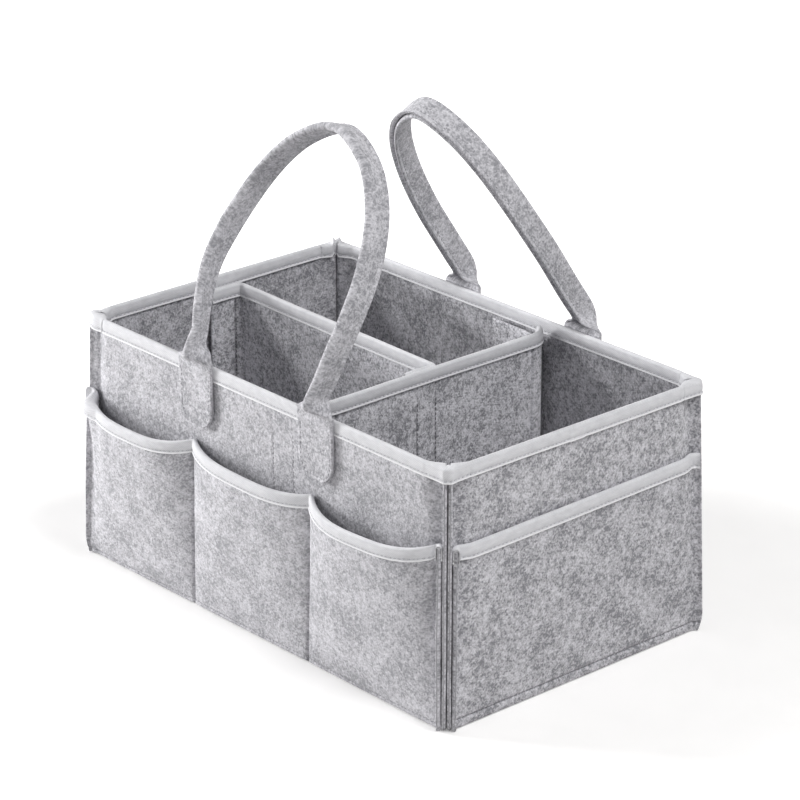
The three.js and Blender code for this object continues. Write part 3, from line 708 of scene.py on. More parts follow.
# Thread
def sew(name, path, outwards, body=None, spool=thread):
    """Stitches along a path of points, each a short run of thread that dips in at its ends."""
    along = running(path)
    count = int(along[-1] / STITCH_PITCH)
    margin = (along[-1] - count * STITCH_PITCH) / 2
    rings, sides = 5, 6
    points, faces, uvs = [], [], []
    for k in range(count):
        start = margin + k * STITCH_PITCH + (STITCH_PITCH - STITCH_LENGTH) / 2
        at = np.linspace(start, start + STITCH_LENGTH, rings)
        centre = read_off(at, along, path)
        up = unit(read_off(at[2], along, outwards))
        side = unit(np.cross(unit(centre[-1] - centre[0]), up))
        first = len(points)
        for ring, share in enumerate(np.linspace(-1, 1, rings)):
            radius = THREAD * math.sqrt(max(0.12, 1 - share ** 4))
            middle = centre[ring] + up * THREAD * (0.55 - 1.1 * share ** 4)
            for angle in np.arange(sides) * 2 * HALF_TURN / sides:
                points.append(middle + radius * (up * math.sin(angle) + side * math.cos(angle)))
                uvs.append((at[ring], angle * THREAD))
        for ring in range(rings - 1):
            for corner in range(sides):
                a = first + ring * sides + corner
                b = first + ring * sides + (corner + 1) % sides
                faces.append([a, b, b + sides, a + sides])
        faces.append([first + corner for corner in reversed(range(sides))])
        faces.append([first + (rings - 1) * sides + corner for corner in range(sides)])
    return make_piece(name, np.array(points), faces, np.array(uvs), spool, (), body)


def sew_on(name, spot, along, z, face, body=None, spool=thread):
    """Sews along a line drawn on the cloth: face is 1 for the outer face and -1 for the inner."""
    along, z = np.broadcast_arrays(np.asarray(along, float), np.asarray(z, float))
    on_face = spot(along, z, face)
    return sew(name, on_face, unit(spot(along, z, face * 1.5) - on_face), body, spool)


def sew_tape(names, spot, along, top, body):
    """Stitches above a tape's hem, on its outer face and, with a second name, on its inner."""
    for name, face in zip(names, (TAPE_FACE, -TAPE_FACE)):
        sewn_at = top - BINDING_DEPTH + STITCH_FROM_HEM
        sew_on(name, spot, along, sewn_at, face, body, tape_thread)


# Basket
def fin_length(side, line):
    """How far a layer runs out along each corner seam."""
    return (length_of(line) - 2 * side["half"]) / 2


def fin_trim(side, line):
    """Rounds off the ends of the corner seams above the floor, where they are trimmed."""
    total, fin = length_of(line), fin_length(side, line)

    def trim(along, z):
        bare = FIN_TRIM * np.clip(1 - z / FIN_ROUND, 0, 1) ** 2
        past_left = np.clip(fin - along, 0, None)
        past_right = np.clip(along - (total - fin), 0, None)
        return along + bare * past_left - bare * past_right
    return trim


def fin_spread(side, line, amount, meet):
    """Lets the raw layers of a corner seam spring apart towards their tips, and presses them
    together where they are sewn."""
    total, fin = length_of(line), fin_length(side, line)

    def swell(along, z):
        past = np.maximum(fin - along, along - (total - fin))
        share = np.clip(past / fin, 0, 1) ** 2
        short_waves = np.sin(z / (19 * MM) + amount / MM * 3)
        long_waves = np.sin(z / (43 * MM) + side["turn"])
        open_by = amount * share * (0.7 + 0.3 * short_waves * long_waves)
        return open_by - meet * smooth_step(past / (2 * MM)) * (1 - share)
    return swell


def fin_stations(side, line):
    fin = fin_length(side, line)
    return [(fin, fin, FIN_STEP), (length_of(line) - fin, fin, FIN_STEP)]


def wall(side_name, seed, strip_seams=()):
    """A wall's felt, and the stitches of the hook tape behind it, at distances from its middle."""
    side, name = SIDES[side_name], f"{side_name}_wall"
    line = seam_line(side, CLEARANCE / 2 + FELT / 2)
    middle = length_of(line) / 2
    spring = fin_spread(side, line, WALL_SPREAD, CLEARANCE / 2 + 0.04 * MM)

    def swell(along, z):
        u = along - middle
        uneven = clear_of_seams(side, u, RIPPLE_RUN) * ripple(along, z, seed, WALL_RIPPLE)
        return spring(along, z) + uneven + bow_out(side, u, z), 0

    def press(along, z):
        return STRIP_SEAM_DEPTH * sum(groove(along - middle - u) for u in strip_seams)

    spot = cloth_spots(line, FELT, splayed, swell, press, fin_trim(side, line))
    edge = CUT_ROUNDING * FELT
    fine = [(middle + u, SEAM_REGION, SEAM_STEP) for u in strip_seams]
    along = stops(0, length_of(line), PANEL_STEP, edge, fine + fin_stations(side, line))
    trimmed = (FIN_ROUND / 2, FIN_ROUND / 2, FIN_ROUND_STEP)
    heights = stops(0, PANEL_TOP, PANEL_STEP, edge, [trimmed])
    # Every wall but the front takes the darker copy of the felt, which is painted shade
    cloth = felt if side_name == "front" else painted_shade_felt
    cut_sheet(f"{name}_felt", spot, along, heights, FELT, cloth, [name], "basket")
    rising = np.arange(STRIP_FOOT, STRIP_FOOT + STRIP_HEIGHT, PATH_STEP)
    for i, u in enumerate(strip_seams):
        sew_on(f"{name}_strip_seam_{i + 1}", spot, middle + u, rising, 1, "basket", tape_thread)


def bottom():
    low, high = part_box("bottom_panel")

    def spot(x, y, through):
        uneven = ripple(x, y, 5, BOTTOM_RIPPLE) * (through + 1)
        return np.stack([x, y, (low.z + high.z) / 2 + through * FELT / 2 + uneven], -1)

    edge = CUT_ROUNDING * FELT
    along, across = (stops(low[i], high[i], BOTTOM_STEP, edge) for i in (0, 1))
    cut_sheet("bottom_felt", spot, along, across, FELT, divider_felt,
              ["bottom_panel"], "basket")


def rim_lines():
    """Matching plan lines round the rim: the walls' inner faces, and outside round the seam tips,
    with how far the walls bow out there. The first point of each side is at its left corner."""
    inside, outside, bows, first = [], [], [], []
    run_in, steps = 11 * MM, 22  # each corner takes up this length of a side
    nose = (SEAM_TIP - SQRT_HALF * FELT, SEAM_TIP + SQRT_HALF * FELT)
    for side in SIDES.values():
        half = side["half"]
        straight = np.arange(-(half - run_in), half - run_in, TAPE_STEP)
        corner = plan_line(
            [(half - 2 * run_in, FELT), (half - run_in, FELT), (half + nose[0], nose[1]),
             (half + SEAM_TIP + 4 * MM, SEAM_TIP - 4 * MM)], [20 * MM, 2.6 * MM])
        ends = np.interp([half - run_in, half + SEAM_TIP], corner["place"][:, 0], corner["along"])
        right, _ = follow(corner, np.linspace(*ends, steps)[:-1])
        inner_u = np.linspace(half - run_in, half, steps)[:-1]
        first.append(len(inside))
        for u in np.concatenate([-inner_u[::-1], straight, inner_u]):
            inside.append(on_side(side, u, CORNER_NOTCH * groove(half - abs(u))))
            bows.append(on_side(side, u, bow_out(side, u, HEIGHT)) - on_side(side, u, 0))
        left = [(-u, out) for u, out in right[::-1]]
        for u, out in left + [(u, FELT) for u in straight] + list(right):
            outside.append(on_side(side, u, out))
    return np.array(inside), np.array(outside), np.array(bows), first


def rim_spots():
    inside, outside, bows, first = rim_lines()
    middle = (inside + outside) / 2
    along = running(outside)
    half_span = np.linalg.norm(outside - inside, axis=1) / 2
    across = unit(outside - inside)

    def spot(s, z, through):
        s, z, through = np.broadcast_arrays(s, z, through)
        at, towards, bow = (read_off(s, along, table) for table in (middle, across, bows))
        through_cloth = np.minimum(np.abs(through), 1) * np.interp(s, along, half_span)
        through_tape = np.maximum(np.abs(through) - 1, 0) * FELT / 2
        offset = np.sign(through) * (through_cloth + through_tape)
        return splayed(at + bow * (z / HEIGHT)[..., None] + towards * offset[..., None], z)
    return spot, along, [along[i] for i in first]


def rim_tape():
    spot, along, corners = rim_spots()
    back_left = corners[3]
    tape_end = (corners[1] + corners[2]) / 2 + TAPE_END_U

    def top(s):
        """The tape's two cut ends poke up where they meet at the back left corner."""
        return HEIGHT + CORNER_TIPS * bell((np.abs(s - back_left) - TIP_FROM_CORNER) / TIP_WIDTH)

    folded_tape("rim_binding_tape", spot, along, top, ["rim_binding"], "basket", closed=True,
                lap=(tape_end - TAPE_LAP, tape_end))
    sew_tape(("rim_stitches_outside", "rim_stitches_inside"), spot, along, HEIGHT, "basket")


# Pockets
def seam_place(at_mouth, at_floor):
    """Where a pocket seam lies at a height: the seams lean a little."""
    return lambda z: at_floor + (at_mouth - at_floor) * z / POCKET_HEIGHT


def pocket_line(side):
    """The plan line of a pocket's felt, and how far its raw ends spring away from the wall."""
    line = seam_line(side, LAYER_OVER_TAPE + FELT / 2)
    return line, length_of(line) / 2, fin_spread(side, line, FIN_SPREAD, PRESSED_LAYERS)


def pocket(side_name, node, line, swell, press, cloth, steps, floor_seam, seams=(), fine=()):
    """A pocket's felt, the tape over its mouth and its stitches."""
    side, total = SIDES[side_name], length_of(line)
    trim = fin_trim(side, line)
    spot = cloth_spots(line, FELT, splayed, swell, press, trim)
    edge = CUT_ROUNDING * FELT
    along = stops(0, total, steps[0], edge, [*fine, *fin_stations(side, line)])
    low = [(floor_seam, SEAM_REGION, POCKET_SEAM_STEP),
           (FIN_ROUND / 2, FIN_ROUND / 2, FIN_ROUND_STEP)]
    heights = stops(BOTTOM_RAISED, POCKET_HEIGHT - WRAP, steps[1], edge, low)
    panel = cut_sheet(f"{side_name}_pocket_felt", spot, along, heights, FELT, cloth,
                      [f"{side_name}_pocket_{node}"], "basket")
    smooth = cloth_spots(line, FELT, splayed, swell, None, trim)
    tape_along = tape_run(total)
    folded_tape(f"{side_name}_pocket_tape", smooth, tape_along, lambda s: POCKET_HEIGHT + 0 * s,
                [f"{side_name}_pocket_binding"], "basket")
    sew_tape([f"{side_name}_pocket_tape_stitches"], smooth, tape_along, POCKET_HEIGHT, "basket")
    rising = np.arange(FRONT_SEAM, POCKET_HEIGHT - BINDING_DEPTH, FINE_PATH_STEP)
    for i, seam in enumerate(seams):
        place = total / 2 + seam(rising)
        sew_on(f"{side_name}_pocket_seam_{i + 1}", spot, place, rising, 1, "basket")
    flat_run = np.arange(total / 2 - side["half"], total / 2 + side["half"], PATH_STEP)
    sew_on(f"{side_name}_bottom_stitches", spot, flat_run, floor_seam, 1, "basket")


def pocket_strip(side_name, mouth_seams, floor_seams, drops, seed):
    """Three pockets in one strip, which stands out and sags between the seams that hold it."""
    side = SIDES[side_name]
    half = side["half"]
    line, middle, spring = pocket_line(side)
    seams = [seam_place(*ends) for ends in zip(mouth_seams, floor_seams)]

    def swell(along, z):
        u = along - middle
        up = np.clip(z, 0, None) / POCKET_HEIGHT
        edges = (-half, seams[0](z), seams[1](z), half)
        uneven = ripple(along, z, seed, POCKET_RIPPLE) * (z / POCKET_HEIGHT)
        out = spring(along, z) + bow_out(side, u, z) + clear_of_seams(side, u, RIPPLE_RUN) * uneven
        out = out - VALLEY * sum(groove((u - edge) / VALLEY_WIDTH) for edge in edges[1:3])
        drop = np.interp(u, (-half, *mouth_seams, half), drops) * up
        for left, right, bulge, sag in zip(edges, edges[1:], POCKET_BULGE, POCKET_SAG):
            share = np.clip((u - left) / (right - left), 0, 1)
            across = 1 - np.abs(2 * share - 1) ** FULLNESS_POWER
            out = out + bulge * across * up ** RISE_POWER
            drop = drop + sag * across * up
        return out, drop

    def press(along, z):
        pull = sum(groove(along - middle - seam(z)) for seam in seams)
        return FRONT_SEAM_DEPTH * groove(z - FRONT_SEAM) + POCKET_SEAM_DEPTH * pull

    fine = [(middle + (a + b) / 2, abs(a - b) / 2 + SEAM_REGION, POCKET_SEAM_STEP)
            for a, b in zip(mouth_seams, floor_seams)]
    pocket(side_name, "strip", line, swell, press, felt, POCKET_STEPS, FRONT_SEAM, seams, fine)


def end_pocket(side_name, mouth, seed):
    """One pocket across an end. mouth says how far it is pulled down at its left and right."""
    side = SIDES[side_name]
    line, middle, spring = pocket_line(side)

    def swell(along, z):
        u, share = along - middle, along / length_of(line)
        up = np.clip(z / POCKET_HEIGHT, 0, 1)
        slack = END_POCKET_SLACK * np.sin(HALF_TURN * share) * up
        uneven = ripple(along, z, seed, END_POCKET_RIPPLE)
        uneven = clear_of_seams(side, u, END_RIPPLE_RUN) * uneven
        out = spring(along, z) + slack + uneven + bow_out(side, u, z)
        return out, (mouth[0] + (mouth[1] - mouth[0]) * share) * up

    def press(along, z):
        return END_SEAM_DEPTH * groove(z - END_SEAM)

    # The end pockets take the darker copy of the felt, which is painted shade
    pocket(side_name, "panel", line, swell, press, painted_shade_felt, (PANEL_STEP, PANEL_STEP), END_SEAM)


# Hook-and-loop tapes
def tape_strip(name, spot, middle, material, node, body):
    """A hook or loop tape sewn down along its two long edges."""
    edge = CUT_ROUNDING * STRIP_THICKNESS
    half = STRIP_WIDTH / 2
    along = stops(middle - half, middle + half, STRIP_STEPS[0], edge)
    heights = stops(STRIP_FOOT, STRIP_FOOT + STRIP_HEIGHT, STRIP_STEPS[1], edge)
    cut_sheet(name, spot, along, heights, STRIP_THICKNESS, material, [node], body)
    top = STRIP_FOOT + STRIP_HEIGHT - STRIP_END_MARGIN
    rising = np.arange(STRIP_FOOT + STRIP_END_MARGIN, top, PATH_STEP)
    for letter, u in (("a", STRIP_MARGIN - half), ("b", half - STRIP_MARGIN)):
        sew_on(f"{name}_stitches_{letter}", spot, middle + u, rising, STITCH_IN_PILE, body)


def wall_strip(side_name, middle):
    """A hook tape on the inner face of a wall; its outer face looks into the basket."""
    side, name = SIDES[side_name], f"{side_name}_wall_hook_strip"
    half, offset = side["half"], -CLEARANCE - STRIP_THICKNESS / 2
    line = plan_line([on_side(side, half, offset), on_side(side, -half, offset)])

    def swell(along, z):
        return -bow_out(side, half - along, z), 0

    spot = cloth_spots(line, STRIP_THICKNESS, splayed, swell)
    tape_strip(f"{name}_tape", spot, half - middle, hook_tape, name, "basket")


def flap_strip(body, kind, place, ends, beside=None):
    """A tape on a divider, along the short plan line between two ends, and beside a wall."""
    swell = (lambda along, z: (lean_with(beside, z), 0)) if beside else None
    spot = cloth_spots(plan_line(ends), STRIP_THICKNESS, upright, swell)
    material = {"hook": hook_tape, "loop": loop_tape}[kind]
    tape_strip(f"{body}_{kind}_tape{place}", spot, STRIP_WIDTH / 2, material,
               f"{body}_{kind}_strip{place}", body)


def lean_with(side_name, z):
    """How far a flap leans out to stay on its wall, from where its strip starts."""
    side = SIDES[side_name]
    return wall_face(side, z) - wall_face(side, STRIP_FOOT)


# Dividers
def divider(name, corners, bend, top, seed, creases=(), inner_creases=(), stitch_lines=(),
            flaps=(), bare=0):
    """A felt panel with a flap at each end, bound along the top but for a bare length at each end.
    Each flap is given as the distances along the panel where it starts to follow its wall and
    does so, and that wall."""
    line = plan_line(corners, [bend] * 2)
    total = length_of(line)

    def swell(along, z):
        out = ripple(along, z, seed, DIVIDER_RIPPLE)
        for loose, held, side_name in flaps:
            out = out + smooth_step((along - loose) / (held - loose)) * lean_with(side_name, z)
        return out, 0

    def pressed_at(places, depth):
        return lambda along, z: depth * sum(groove(along - place) for place in places)

    def press(along, z):
        creased, sewn = pressed_at(creases, CREASE_DEPTH), pressed_at(stitch_lines, STITCHED_DENT)
        return creased(along, z) + sewn(along, z)

    spot = cloth_spots(line, FELT, upright, swell, press, None,
                       pressed_at(inner_creases, INNER_CREASE_DEPTH))
    raised, edge = FELT + CLEARANCE, CUT_ROUNDING * FELT

    def rising(s, z, through):
        """Stretches the sheet's height to reach from the bottom panel to its sloping top."""
        low = raised + edge
        return spot(s, low + z / HEIGHT * (top(s) - WRAP - low), through)

    pressed = (*creases, *inner_creases, *stitch_lines)
    fine = [(at, SEAM_REGION, SEAM_STEP) for at in pressed] + bend_stations(line)
    along = stops(0, total, PANEL_STEP, edge, fine)
    shares = np.concatenate([[0, 0.002, 0.006], stops(0, 1, 0.03)[1:-1], [0.994, 0.998, 1]])
    panel = cut_sheet(f"{name}_felt", rising, along, shares * HEIGHT, FELT, divider_felt,
                      [f"{name}_panel"], name)
    smooth = cloth_spots(line, FELT, upright, swell)
    tape_along = tape_run(total, bare)
    folded_tape(f"{name}_tape", smooth, tape_along, top, [f"{name}_binding"], name)
    sew_tape([f"{name}_tape_stitches_{face}" for face in ("outer", "inner")], smooth, tape_along,
             top(tape_along), name)
    # These seams are sewn in thread painted dark: real stitches, with painted shade for their
    # needle holes and the crease's shadow line
    for i, seam in enumerate(stitch_lines):
        up = np.arange(STRIP_FOOT, STRIP_FOOT + STRIP_HEIGHT, PATH_STEP)
        sew_on(f"{name}_strip_seam_{i + 1}", smooth, seam, up, 1, name, shade_dark_thread)
    for i, crease in enumerate(inner_creases):
        up = np.arange(STRIP_FOOT, top(crease) - BINDING_DEPTH, PATH_STEP)
        sew_on(f"{name}_crease_shade_seam_{i + 1}", smooth, crease, up, CREASE_SEAM_FACE, name,
               shade_dark_thread)


def bend_stations(line):
    """Fine stations where the plan line bends."""
    turning = np.abs(np.diff(line["normal"], axis=0)).sum(1) > 0.02
    middles = (line["along"][1:] + line["along"][:-1]) / 2
    return [(at, 2 * BEND_STEP, BEND_STEP) for at in middles[turning]]


def cross_divider(y):
    """The divider across the basket, whose flaps lie this far from the middle."""
    flap_end = CROSS_X - CROSS_FLAP
    corners = [(flap_end, -y), (CROSS_X, -y), (CROSS_X, y), (flap_end, y)]
    total = length_of(plan_line(corners, [CROSS_BEND] * 2))
    middle, flap = total / 2, CROSS_FLAP - CROSS_BEND

    def top(s):
        """The flaps are cut lower, below the tape of the rim."""
        past = np.abs(s - middle) - (middle - flap + FLAP_BOUND)
        return HEIGHT - CROSS_DROP - FLAP_DROP * smooth_step(past / FLAP_DROP)

    divider("cross_divider", corners, CROSS_BEND, top, 3,
            creases=[middle + CROSS_CREASE_Y, middle - CROSS_CREASE_Y],
            stitch_lines=[middle + u for u in CROSS_SEAMS], bare=flap - FLAP_BOUND,
            flaps=[(flap, flap - CROSS_HELD, "front"),
                   (total - flap, total - flap + CROSS_HELD, "back")])


def long_divider(left, right):
    """The divider from the cross divider to the left end, with a flap along each of these lines."""
    corners = [(right, LONG_AT_CROSS - LONG_FLAP), (right, LONG_AT_CROSS), (left, LONG_AT_WALL),
               (left, LONG_AT_WALL - LONG_FLAP)]
    total = length_of(plan_line(corners, [LONG_BEND] * 2))
    flap = total - (LONG_FLAP - LONG_BEND)

    def top(s):
        share = np.clip((s - LONG_FLAP) / (total - 2 * LONG_FLAP), 0, 1)
        return LONG_TOP_AT_CROSS + (LONG_TOP_AT_WALL - LONG_TOP_AT_CROSS) * share

    divider("long_divider", corners, LONG_BEND, top, 7, inner_creases=[flap + LONG_CREASE],
            flaps=[(flap, flap + LONG_HELD, "left_end")])


def dividers():
    """Both dividers and their tapes. Each flap stands off its wall by its own tape and the
    wall's."""
    off_wall = FLAP_STANDOFF + FELT / 2
    y = wall_face(SIDES["front"], STRIP_FOOT) - off_wall * (1 + SPLAY / (RIM_WIDTH / 2))
    left = off_wall * (1 + SPLAY / (RIM_LENGTH / 2)) - wall_face(SIDES["left_end"], STRIP_FOOT)
    right = CROSS_X - FELT - FLAP_STANDOFF
    cross_divider(y)
    long_divider(left, right)
    away = FELT / 2 + CLEARANCE + STRIP_THICKNESS / 2
    low, high = CROSS_STRIP_X - STRIP_WIDTH / 2, CROSS_STRIP_X + STRIP_WIDTH / 2
    at_cross, at_wall = LONG_AT_CROSS - STRIP_FROM_BEND, LONG_AT_WALL - STRIP_FROM_BEND
    under_cross, under_wall = at_cross - STRIP_WIDTH, at_wall - STRIP_WIDTH
    for strip in (
        ("cross_divider", "loop", "_front", [(low, -y - away), (high, -y - away)], "front"),
        ("cross_divider", "loop", "_back", [(high, y + away), (low, y + away)], "back"),
        ("cross_divider", "hook", "", [(CROSS_X - away, at_cross), (CROSS_X - away, under_cross)]),
        ("long_divider", "loop", "_right", [(right + away, under_cross), (right + away, at_cross)]),
        ("long_divider", "loop", "_left", [(left - away, at_wall), (left - away, under_wall)],
         "left_end"),
    ):
        flap_strip(*strip)


# Handles
def side_view(handle):
    """How far in and how high the loop is at each distance up its own surface, and how it
    leans."""
    up = np.linspace(-2 * MM, handle["rise"] + 8 * MM, 160)
    lean = np.radians(np.interp(up / handle["rise"], LEAN_AT, handle["lean"]))
    middle = (lean[1:] + lean[:-1]) / 2
    inwards, high = (np.concatenate([[0], np.cumsum(np.diff(up) * share)])
                     for share in (np.sin(middle), np.cos(middle)))
    return up, inwards - np.interp(0, up, inwards), high - np.interp(0, up, high), lean


def loop_curve(handle):
    """The loop's centreline in its own surface, as a smooth curve from foot to foot."""
    half, rise = handle["half_span"], handle["rise"]
    spans = zip(handle["spread"], SPREAD_AT)
    knots = [(half, 0), *[(share * half, at * rise) for share, at in spans]]
    knots = np.array([(-x, y) for x, y in knots] + [(0, rise)] + knots[::-1])
    padded = np.concatenate([2 * knots[:1] - knots[1:2], knots, 2 * knots[-1:] - knots[-2:-1]])
    points = []
    for a, b, c, d in zip(padded, padded[1:], padded[2:], padded[3:]):
        for t in np.linspace(0, 1, 40, endpoint=False):
            square, cube = 2 * a - 5 * b + 4 * c - d, 3 * b - a - 3 * c + d
            points.append(b + (c - a) / 2 * t + square / 2 * t ** 2 + cube / 2 * t ** 3)
    points = np.array([*points, knots[-1]])
    along = running(points)
    return along, points, unit(np.gradient(points, along, axis=0))


def strap_section(across, through, opening, half, ridge_out):
    """The strip's cross-section: across its width from the ridge, folded until opening is 0.
    Gives how far it stands to the side and how far in."""
    arc = STRAP_BEND * QUARTER
    radius = arc / np.maximum(QUARTER - opening, 1e-4)
    distance = np.abs(across)
    angle = np.minimum(distance, arc) / radius
    wing = np.maximum(distance - arc, 0)
    side = radius * np.sin(angle) + wing * np.cos(angle)
    inward = radius * (1 - np.cos(angle)) + wing * np.sin(angle)
    from_seam = distance - (half - STRAP_MARGIN)
    closed = 1 - opening / QUARTER
    sewn = STITCHED_DENT * groove(from_seam) * closed * np.clip(through, 0, 1)
    side = side + EDGE_FLARE * closed * np.clip(from_seam / STRAP_MARGIN, 0, 1) ** 1.3
    offset = through * STRAP_FELT / 2 - sewn
    side, inward = side + offset * np.sin(angle), inward - offset * np.cos(angle)
    return np.sign(across) * side, inward + STRAP_FELT / 2 - ridge_out


def twisted(side, inward, handle, above, on_left):
    """Turns the folded strap about its ridge."""
    left, right = (np.radians(np.interp(above / MM, *leg)) for leg in handle["twist"])
    twist = np.where(on_left, left, right)
    behind = inward - handle["ridge_out"]
    side, behind = (side * np.cos(twist) - behind * np.sin(twist),
                    side * np.sin(twist) + behind * np.cos(twist))
    return side, behind + handle["ridge_out"]


def handle_spots(handle):
    """The handle strip: along runs from one tab's lower end over the loop to the other tab's."""
    up_at, inwards_at, high_at, lean_at = side_view(handle)
    curve_along, curve, heading = loop_curve(handle)
    total = curve_along[-1] + 2 * TAB_LENGTH

    def half_width(along):
        missing = np.clip(TAB_CORNER - np.minimum(along, total - along), 0, TAB_CORNER)
        return STRAP_HALF_WIDTH - (TAB_CORNER - np.sqrt(TAB_CORNER ** 2 - missing ** 2))

    def spot(along, share, through):
        along, share, through = np.broadcast_arrays(along, share, through)
        on_left = along < total / 2
        rightwards = np.where(on_left, 1, -1)
        above = np.minimum(along, total - along) - TAB_LENGTH
        opening = QUARTER * (1 - np.sin(QUARTER * np.clip(above / FOLD_LENGTH, 0, 1)))
        ridge_out = handle["ridge_out"] * np.sin(QUARTER * np.clip(above / RIDGE_LENGTH, 0, 1))
        ridge_out = ridge_out * (1 + RIDGE_BULGE * bell(above / RIDGE_LENGTH / 2 - 1))
        half = half_width(along)
        side, inward = strap_section(share * half, through, opening, half, ridge_out)
        side, inward = twisted(side, inward, handle, above, on_left)
        s = np.clip(along - TAB_LENGTH, 0, curve_along[-1])
        at, head = read_off(s, curve_along, curve), read_off(s, curve_along, heading)
        turn_in = smooth_step(above / FOLD_LENGTH)[..., None]
        upright_tab = np.stack([0 * above, rightwards], -1)
        head = unit(head * turn_in + upright_tab * (1 - turn_in))
        x = at[..., 0] - side * head[..., 1]
        up = at[..., 1] + side * head[..., 0] + np.minimum(above, 0)
        lean = np.interp(up, up_at, lean_at) * (up > 0)
        y = FOOT_Y - np.interp(np.maximum(up, 0), up_at, inwards_at) - inward * np.cos(lean)
        high = np.where(up > 0, np.interp(up, up_at, high_at), up)
        z = HEIGHT + WRAP + high - inward * np.sin(lean)
        below = smooth_step(-above / BINDING_DEPTH - 0.2)
        y = y - TAB_SETTLE * below + TAB_CURL * below * np.clip(-rightwards * share, 0, 1) ** 3
        y = y + TAB_CURL * smooth_step(1 - (above + TAB_LENGTH) / TAB_CURL_RUN)
        x = x + handle["middle"] + handle["skew"] * np.maximum(up, 0) / handle["rise"]
        lower = np.clip(1 - z / HEIGHT, 0, 1)
        x = x * (1 + SPLAY / (RIM_LENGTH / 2) * lower)
        y = (y - LONG_SIDE_BOW * lower) * (1 + SPLAY / (RIM_WIDTH / 2) * lower)
        return np.stack([x, handle["side"] * y, z], -1)
    return spot, half_width, total


def handle_strip(name, handle):
    spot, half_width, total = handle_spots(handle)
    front = handle["side"] < 0
    dense = []
    for at, reach, step in ((TAB_CORNER / 2, TAB_CORNER / 2, 0.6 * MM),
                            (TAB_LENGTH + FOLD_LENGTH / 2, FOLD_LENGTH, 1.2 * MM)):
        dense += [(at, reach, step), (total - at, reach, step)]
    along = stops(0, total, STRAP_STEP, CUT_ROUNDING * STRAP_FELT, dense)
    arc_share = STRAP_BEND * QUARTER / STRAP_HALF_WIDTH
    wing = np.concatenate([np.linspace(arc_share, 0.9, 9)[1:], [0.94, 0.97, 0.99, 1]])
    shares = np.concatenate([-wing[::-1], np.linspace(-arc_share, arc_share, 13), wing])
    parts = ("strap", "fold_left", "fold_right", "tab_left", "tab_right")
    strip = cut_sheet(
        f"{name}_felt", lambda s, across, through: spot(s, across / STRAP_HALF_WIDTH, through),
        along, shares * STRAP_HALF_WIDTH, STRAP_FELT, felt,
        [f"{name}_{part}" for part in parts], pattern=name, flip=front,
        taper=lambda s: half_width(s) / STRAP_HALF_WIDTH)
    area = float(np.mean(2 * half_width(np.linspace(0, total, 400))) * total)
    bend_over_rim(strip)
    handle_stitches(name, spot, half_width, total)


def bend_over_rim(piece):
    """Bakes a piece's placement into its mesh; it rides on no body."""
    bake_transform(piece)


def handle_stitches(name, spot, half_width, total):
    """Two seams hold the folded edges together, and one runs round each tab."""
    def sewn(part, along, share, body=None):
        on_face = spot(along, share, 0.9)
        return sew(f"{name}_{part}", on_face, spot(along, share, 1.5) - on_face, body)

    above_fold = TAB_LENGTH + FOLD_LENGTH
    along = np.arange(above_fold, total - above_fold, FINE_PATH_STEP)
    for part, wing in (("left", -1), ("right", 1)):
        share = wing * (1 - STRAP_MARGIN / half_width(along))
        bend_over_rim(sewn(f"edge_stitches_{part}", along, share))
    down = np.arange(TAB_MARGIN, TAB_SEAM_TOP, 1 * MM)[::-1]
    edge_share = 1 - TAB_MARGIN / half_width(down)
    bottom_share = np.linspace(edge_share[-1], -edge_share[-1], 12)[1:-1]
    along = np.concatenate([down, np.full(len(bottom_share), TAB_MARGIN), down[::-1]])
    share = np.concatenate([edge_share, bottom_share, -edge_share[::-1]])
    sewn("tab_stitches_left", along, share, "basket")
    sewn("tab_stitches_right", total - along, share, "basket")


# The caddy
bottom()
front_strip_seams = [CROSS_STRIP_X + u for u in FRONT_STRIP_SEAMS]
left_strip = LONG_AT_WALL - STRIP_FROM_BEND - STRIP_WIDTH / 2
wall("front", 1, front_strip_seams)
wall("back", 2, [-u for u in front_strip_seams])
wall("left_end", 3, (-left_strip - STRIP_WIDTH / 2, -left_strip + STRIP_WIDTH / 2))
wall("right_end", 4)
rim_tape()
pocket_strip("front", SEAMS_AT_MOUTH, SEAMS_AT_FLOOR, MOUTH_DROP, 11)
mirrored = [tuple(-u for u in reversed(seams)) for seams in (SEAMS_AT_MOUTH, SEAMS_AT_FLOOR)]
pocket_strip("back", *mirrored, BACK_MOUTH_DROP, 12)
end_pocket("left_end", (0, 0), 13)
end_pocket("right_end", RIGHT_MOUTH, 14)
wall_strip("front", CROSS_STRIP_X)
wall_strip("back", -CROSS_STRIP_X)
wall_strip("left_end", -left_strip)
dividers()
handle_strip("front_handle", FRONT_HANDLE)
handle_strip("back_handle", BACK_HANDLE)


# Studio
def seen_by_camera(tree):
    """1 for a ray from the camera or by way of a mirror or glass, and 0 for the rest."""
    rays = add(tree, "ShaderNodeLightPath").outputs
    seen = arithmetic(tree, "MAXIMUM", rays["Is Camera Ray"], rays["Is Glossy Ray"])
    return arithmetic(tree, "MAXIMUM", seen, rays["Is Transmission Ray"])


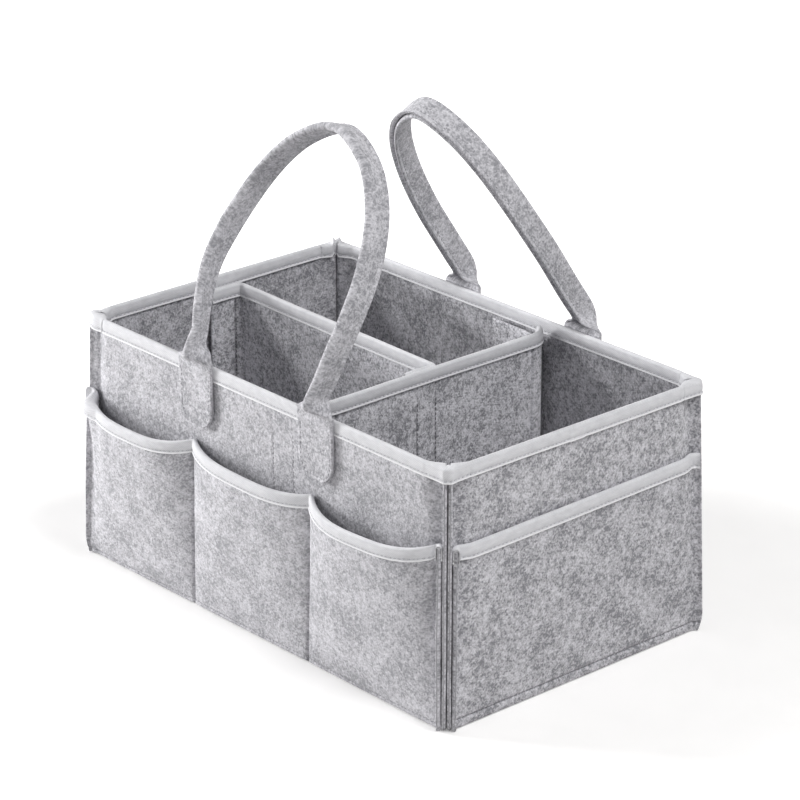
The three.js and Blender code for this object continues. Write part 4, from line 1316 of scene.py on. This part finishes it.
def studio_floor():
    """A pale sweep of paper, burnt out to white away from the basket as the photo's is. Round the
    basket it glows less, and keeps the shadow."""
    bpy.ops.mesh.primitive_grid_add(x_subdivisions=12, y_subdivisions=12, size=14)
    floor = bpy.context.object
    floor.name = "studio_floor"
    material, tree = new_material("white_paper")
    place = add(tree, "ShaderNodeTexCoord").outputs["Object"]
    grain = {"Vector": place, "Scale": 30, "Detail": 2, "Roughness": 0.5}
    fibres = add(tree, "ShaderNodeTexNoise", grain, noise_dimensions="2D").outputs[0]
    paper = mixed(tree, fibres, linear("#ecebea"), linear("#f2f1f0"))
    matt = add(tree, "ShaderNodeBsdfDiffuse", {"Color": paper})
    away = add(tree, "ShaderNodeVectorMath", {0: place}, operation="LENGTH").outputs["Value"]
    levels = {"Value": away, "From Min": 0.26, "From Max": 0.8, "To Min": 0.24, "To Max": 0.85}
    level = add(tree, "ShaderNodeMapRange", levels, interpolation_type="SMOOTHSTEP").outputs[0]
    strength = arithmetic(tree, "MULTIPLY", seen_by_camera(tree), level)
    glow = add(tree, "ShaderNodeEmission", {"Color": (1, 1, 1, 1), "Strength": strength})
    both = add(tree, "ShaderNodeAddShader", {0: matt.outputs[0], 1: glow.outputs[0]})
    add(tree, "ShaderNodeOutputMaterial", {"Surface": both.outputs[0]})
    floor.data.materials.append(material)


def white_room(strength):
    """Lights the caddy evenly at this strength. To the camera it is white."""
    world = bpy.data.worlds.new("white_room")
    bpy.context.scene.world = world
    world.use_nodes = True
    tree = world.node_tree
    tree.nodes.clear()
    levels = {"Value": seen_by_camera(tree), "To Min": strength, "To Max": 1.0}
    level = add(tree, "ShaderNodeMapRange", levels).outputs[0]
    room = add(tree, "ShaderNodeBackground", {"Color": (1, 1, 1, 1), "Strength": level})
    add(tree, "ShaderNodeOutputWorld", {"Surface": room.outputs[0]})


def stand_off(name, data, looked_at, azimuth, elevation, distance):
    """Stands a lamp or a camera off from a point and turns it there. Azimuth 0 is in front of
    the caddy and 90 at its right."""
    stand = bpy.data.objects.new(name, data)
    bpy.context.scene.collection.objects.link(stand)
    a, e = math.radians(azimuth), math.radians(elevation)
    away = Vector((math.sin(a) * math.cos(e), -math.cos(a) * math.cos(e), math.sin(e)))
    stand.location = Vector(looked_at) + away * distance
    stand.rotation_mode = "QUATERNION"
    stand.rotation_quaternion = away.to_track_quat("Z", "Y")
    return stand


def soft_light(name, azimuth, elevation, distance, size, watts):
    lamp = bpy.data.lights.new(name, "AREA")
    lamp.size = size
    lamp.energy = watts
    stand_off(name, lamp, (0, 0, HEIGHT / 2), azimuth, elevation, distance)


def photo_camera():
    """Stands where the photograph was taken from."""
    camera = bpy.data.cameras.new("camera")
    camera.lens = 158.7
    camera.sensor_width = 36
    bpy.context.scene.camera = stand_off(
        "camera", camera, looked_at=(12.63 * MM, 0, 148.13 * MM), azimuth=48.37, elevation=22.16,
        distance=2443.4 * MM)


studio_floor()
white_room(strength=0.28)
for lamp in (  # azimuth and elevation in degrees, distance and size in metres, and power in watts
    ("key_light", -52, 30, 2.6, 0.4, 22),
    ("low_light", -63, 9, 1.8, 0.3, 23),
    ("right_light", 95, 60, 2.6, 1, 40),
):
    soft_light(*lamp)
photo_camera()
bpy.context.scene.view_settings.view_transform = "Standard"
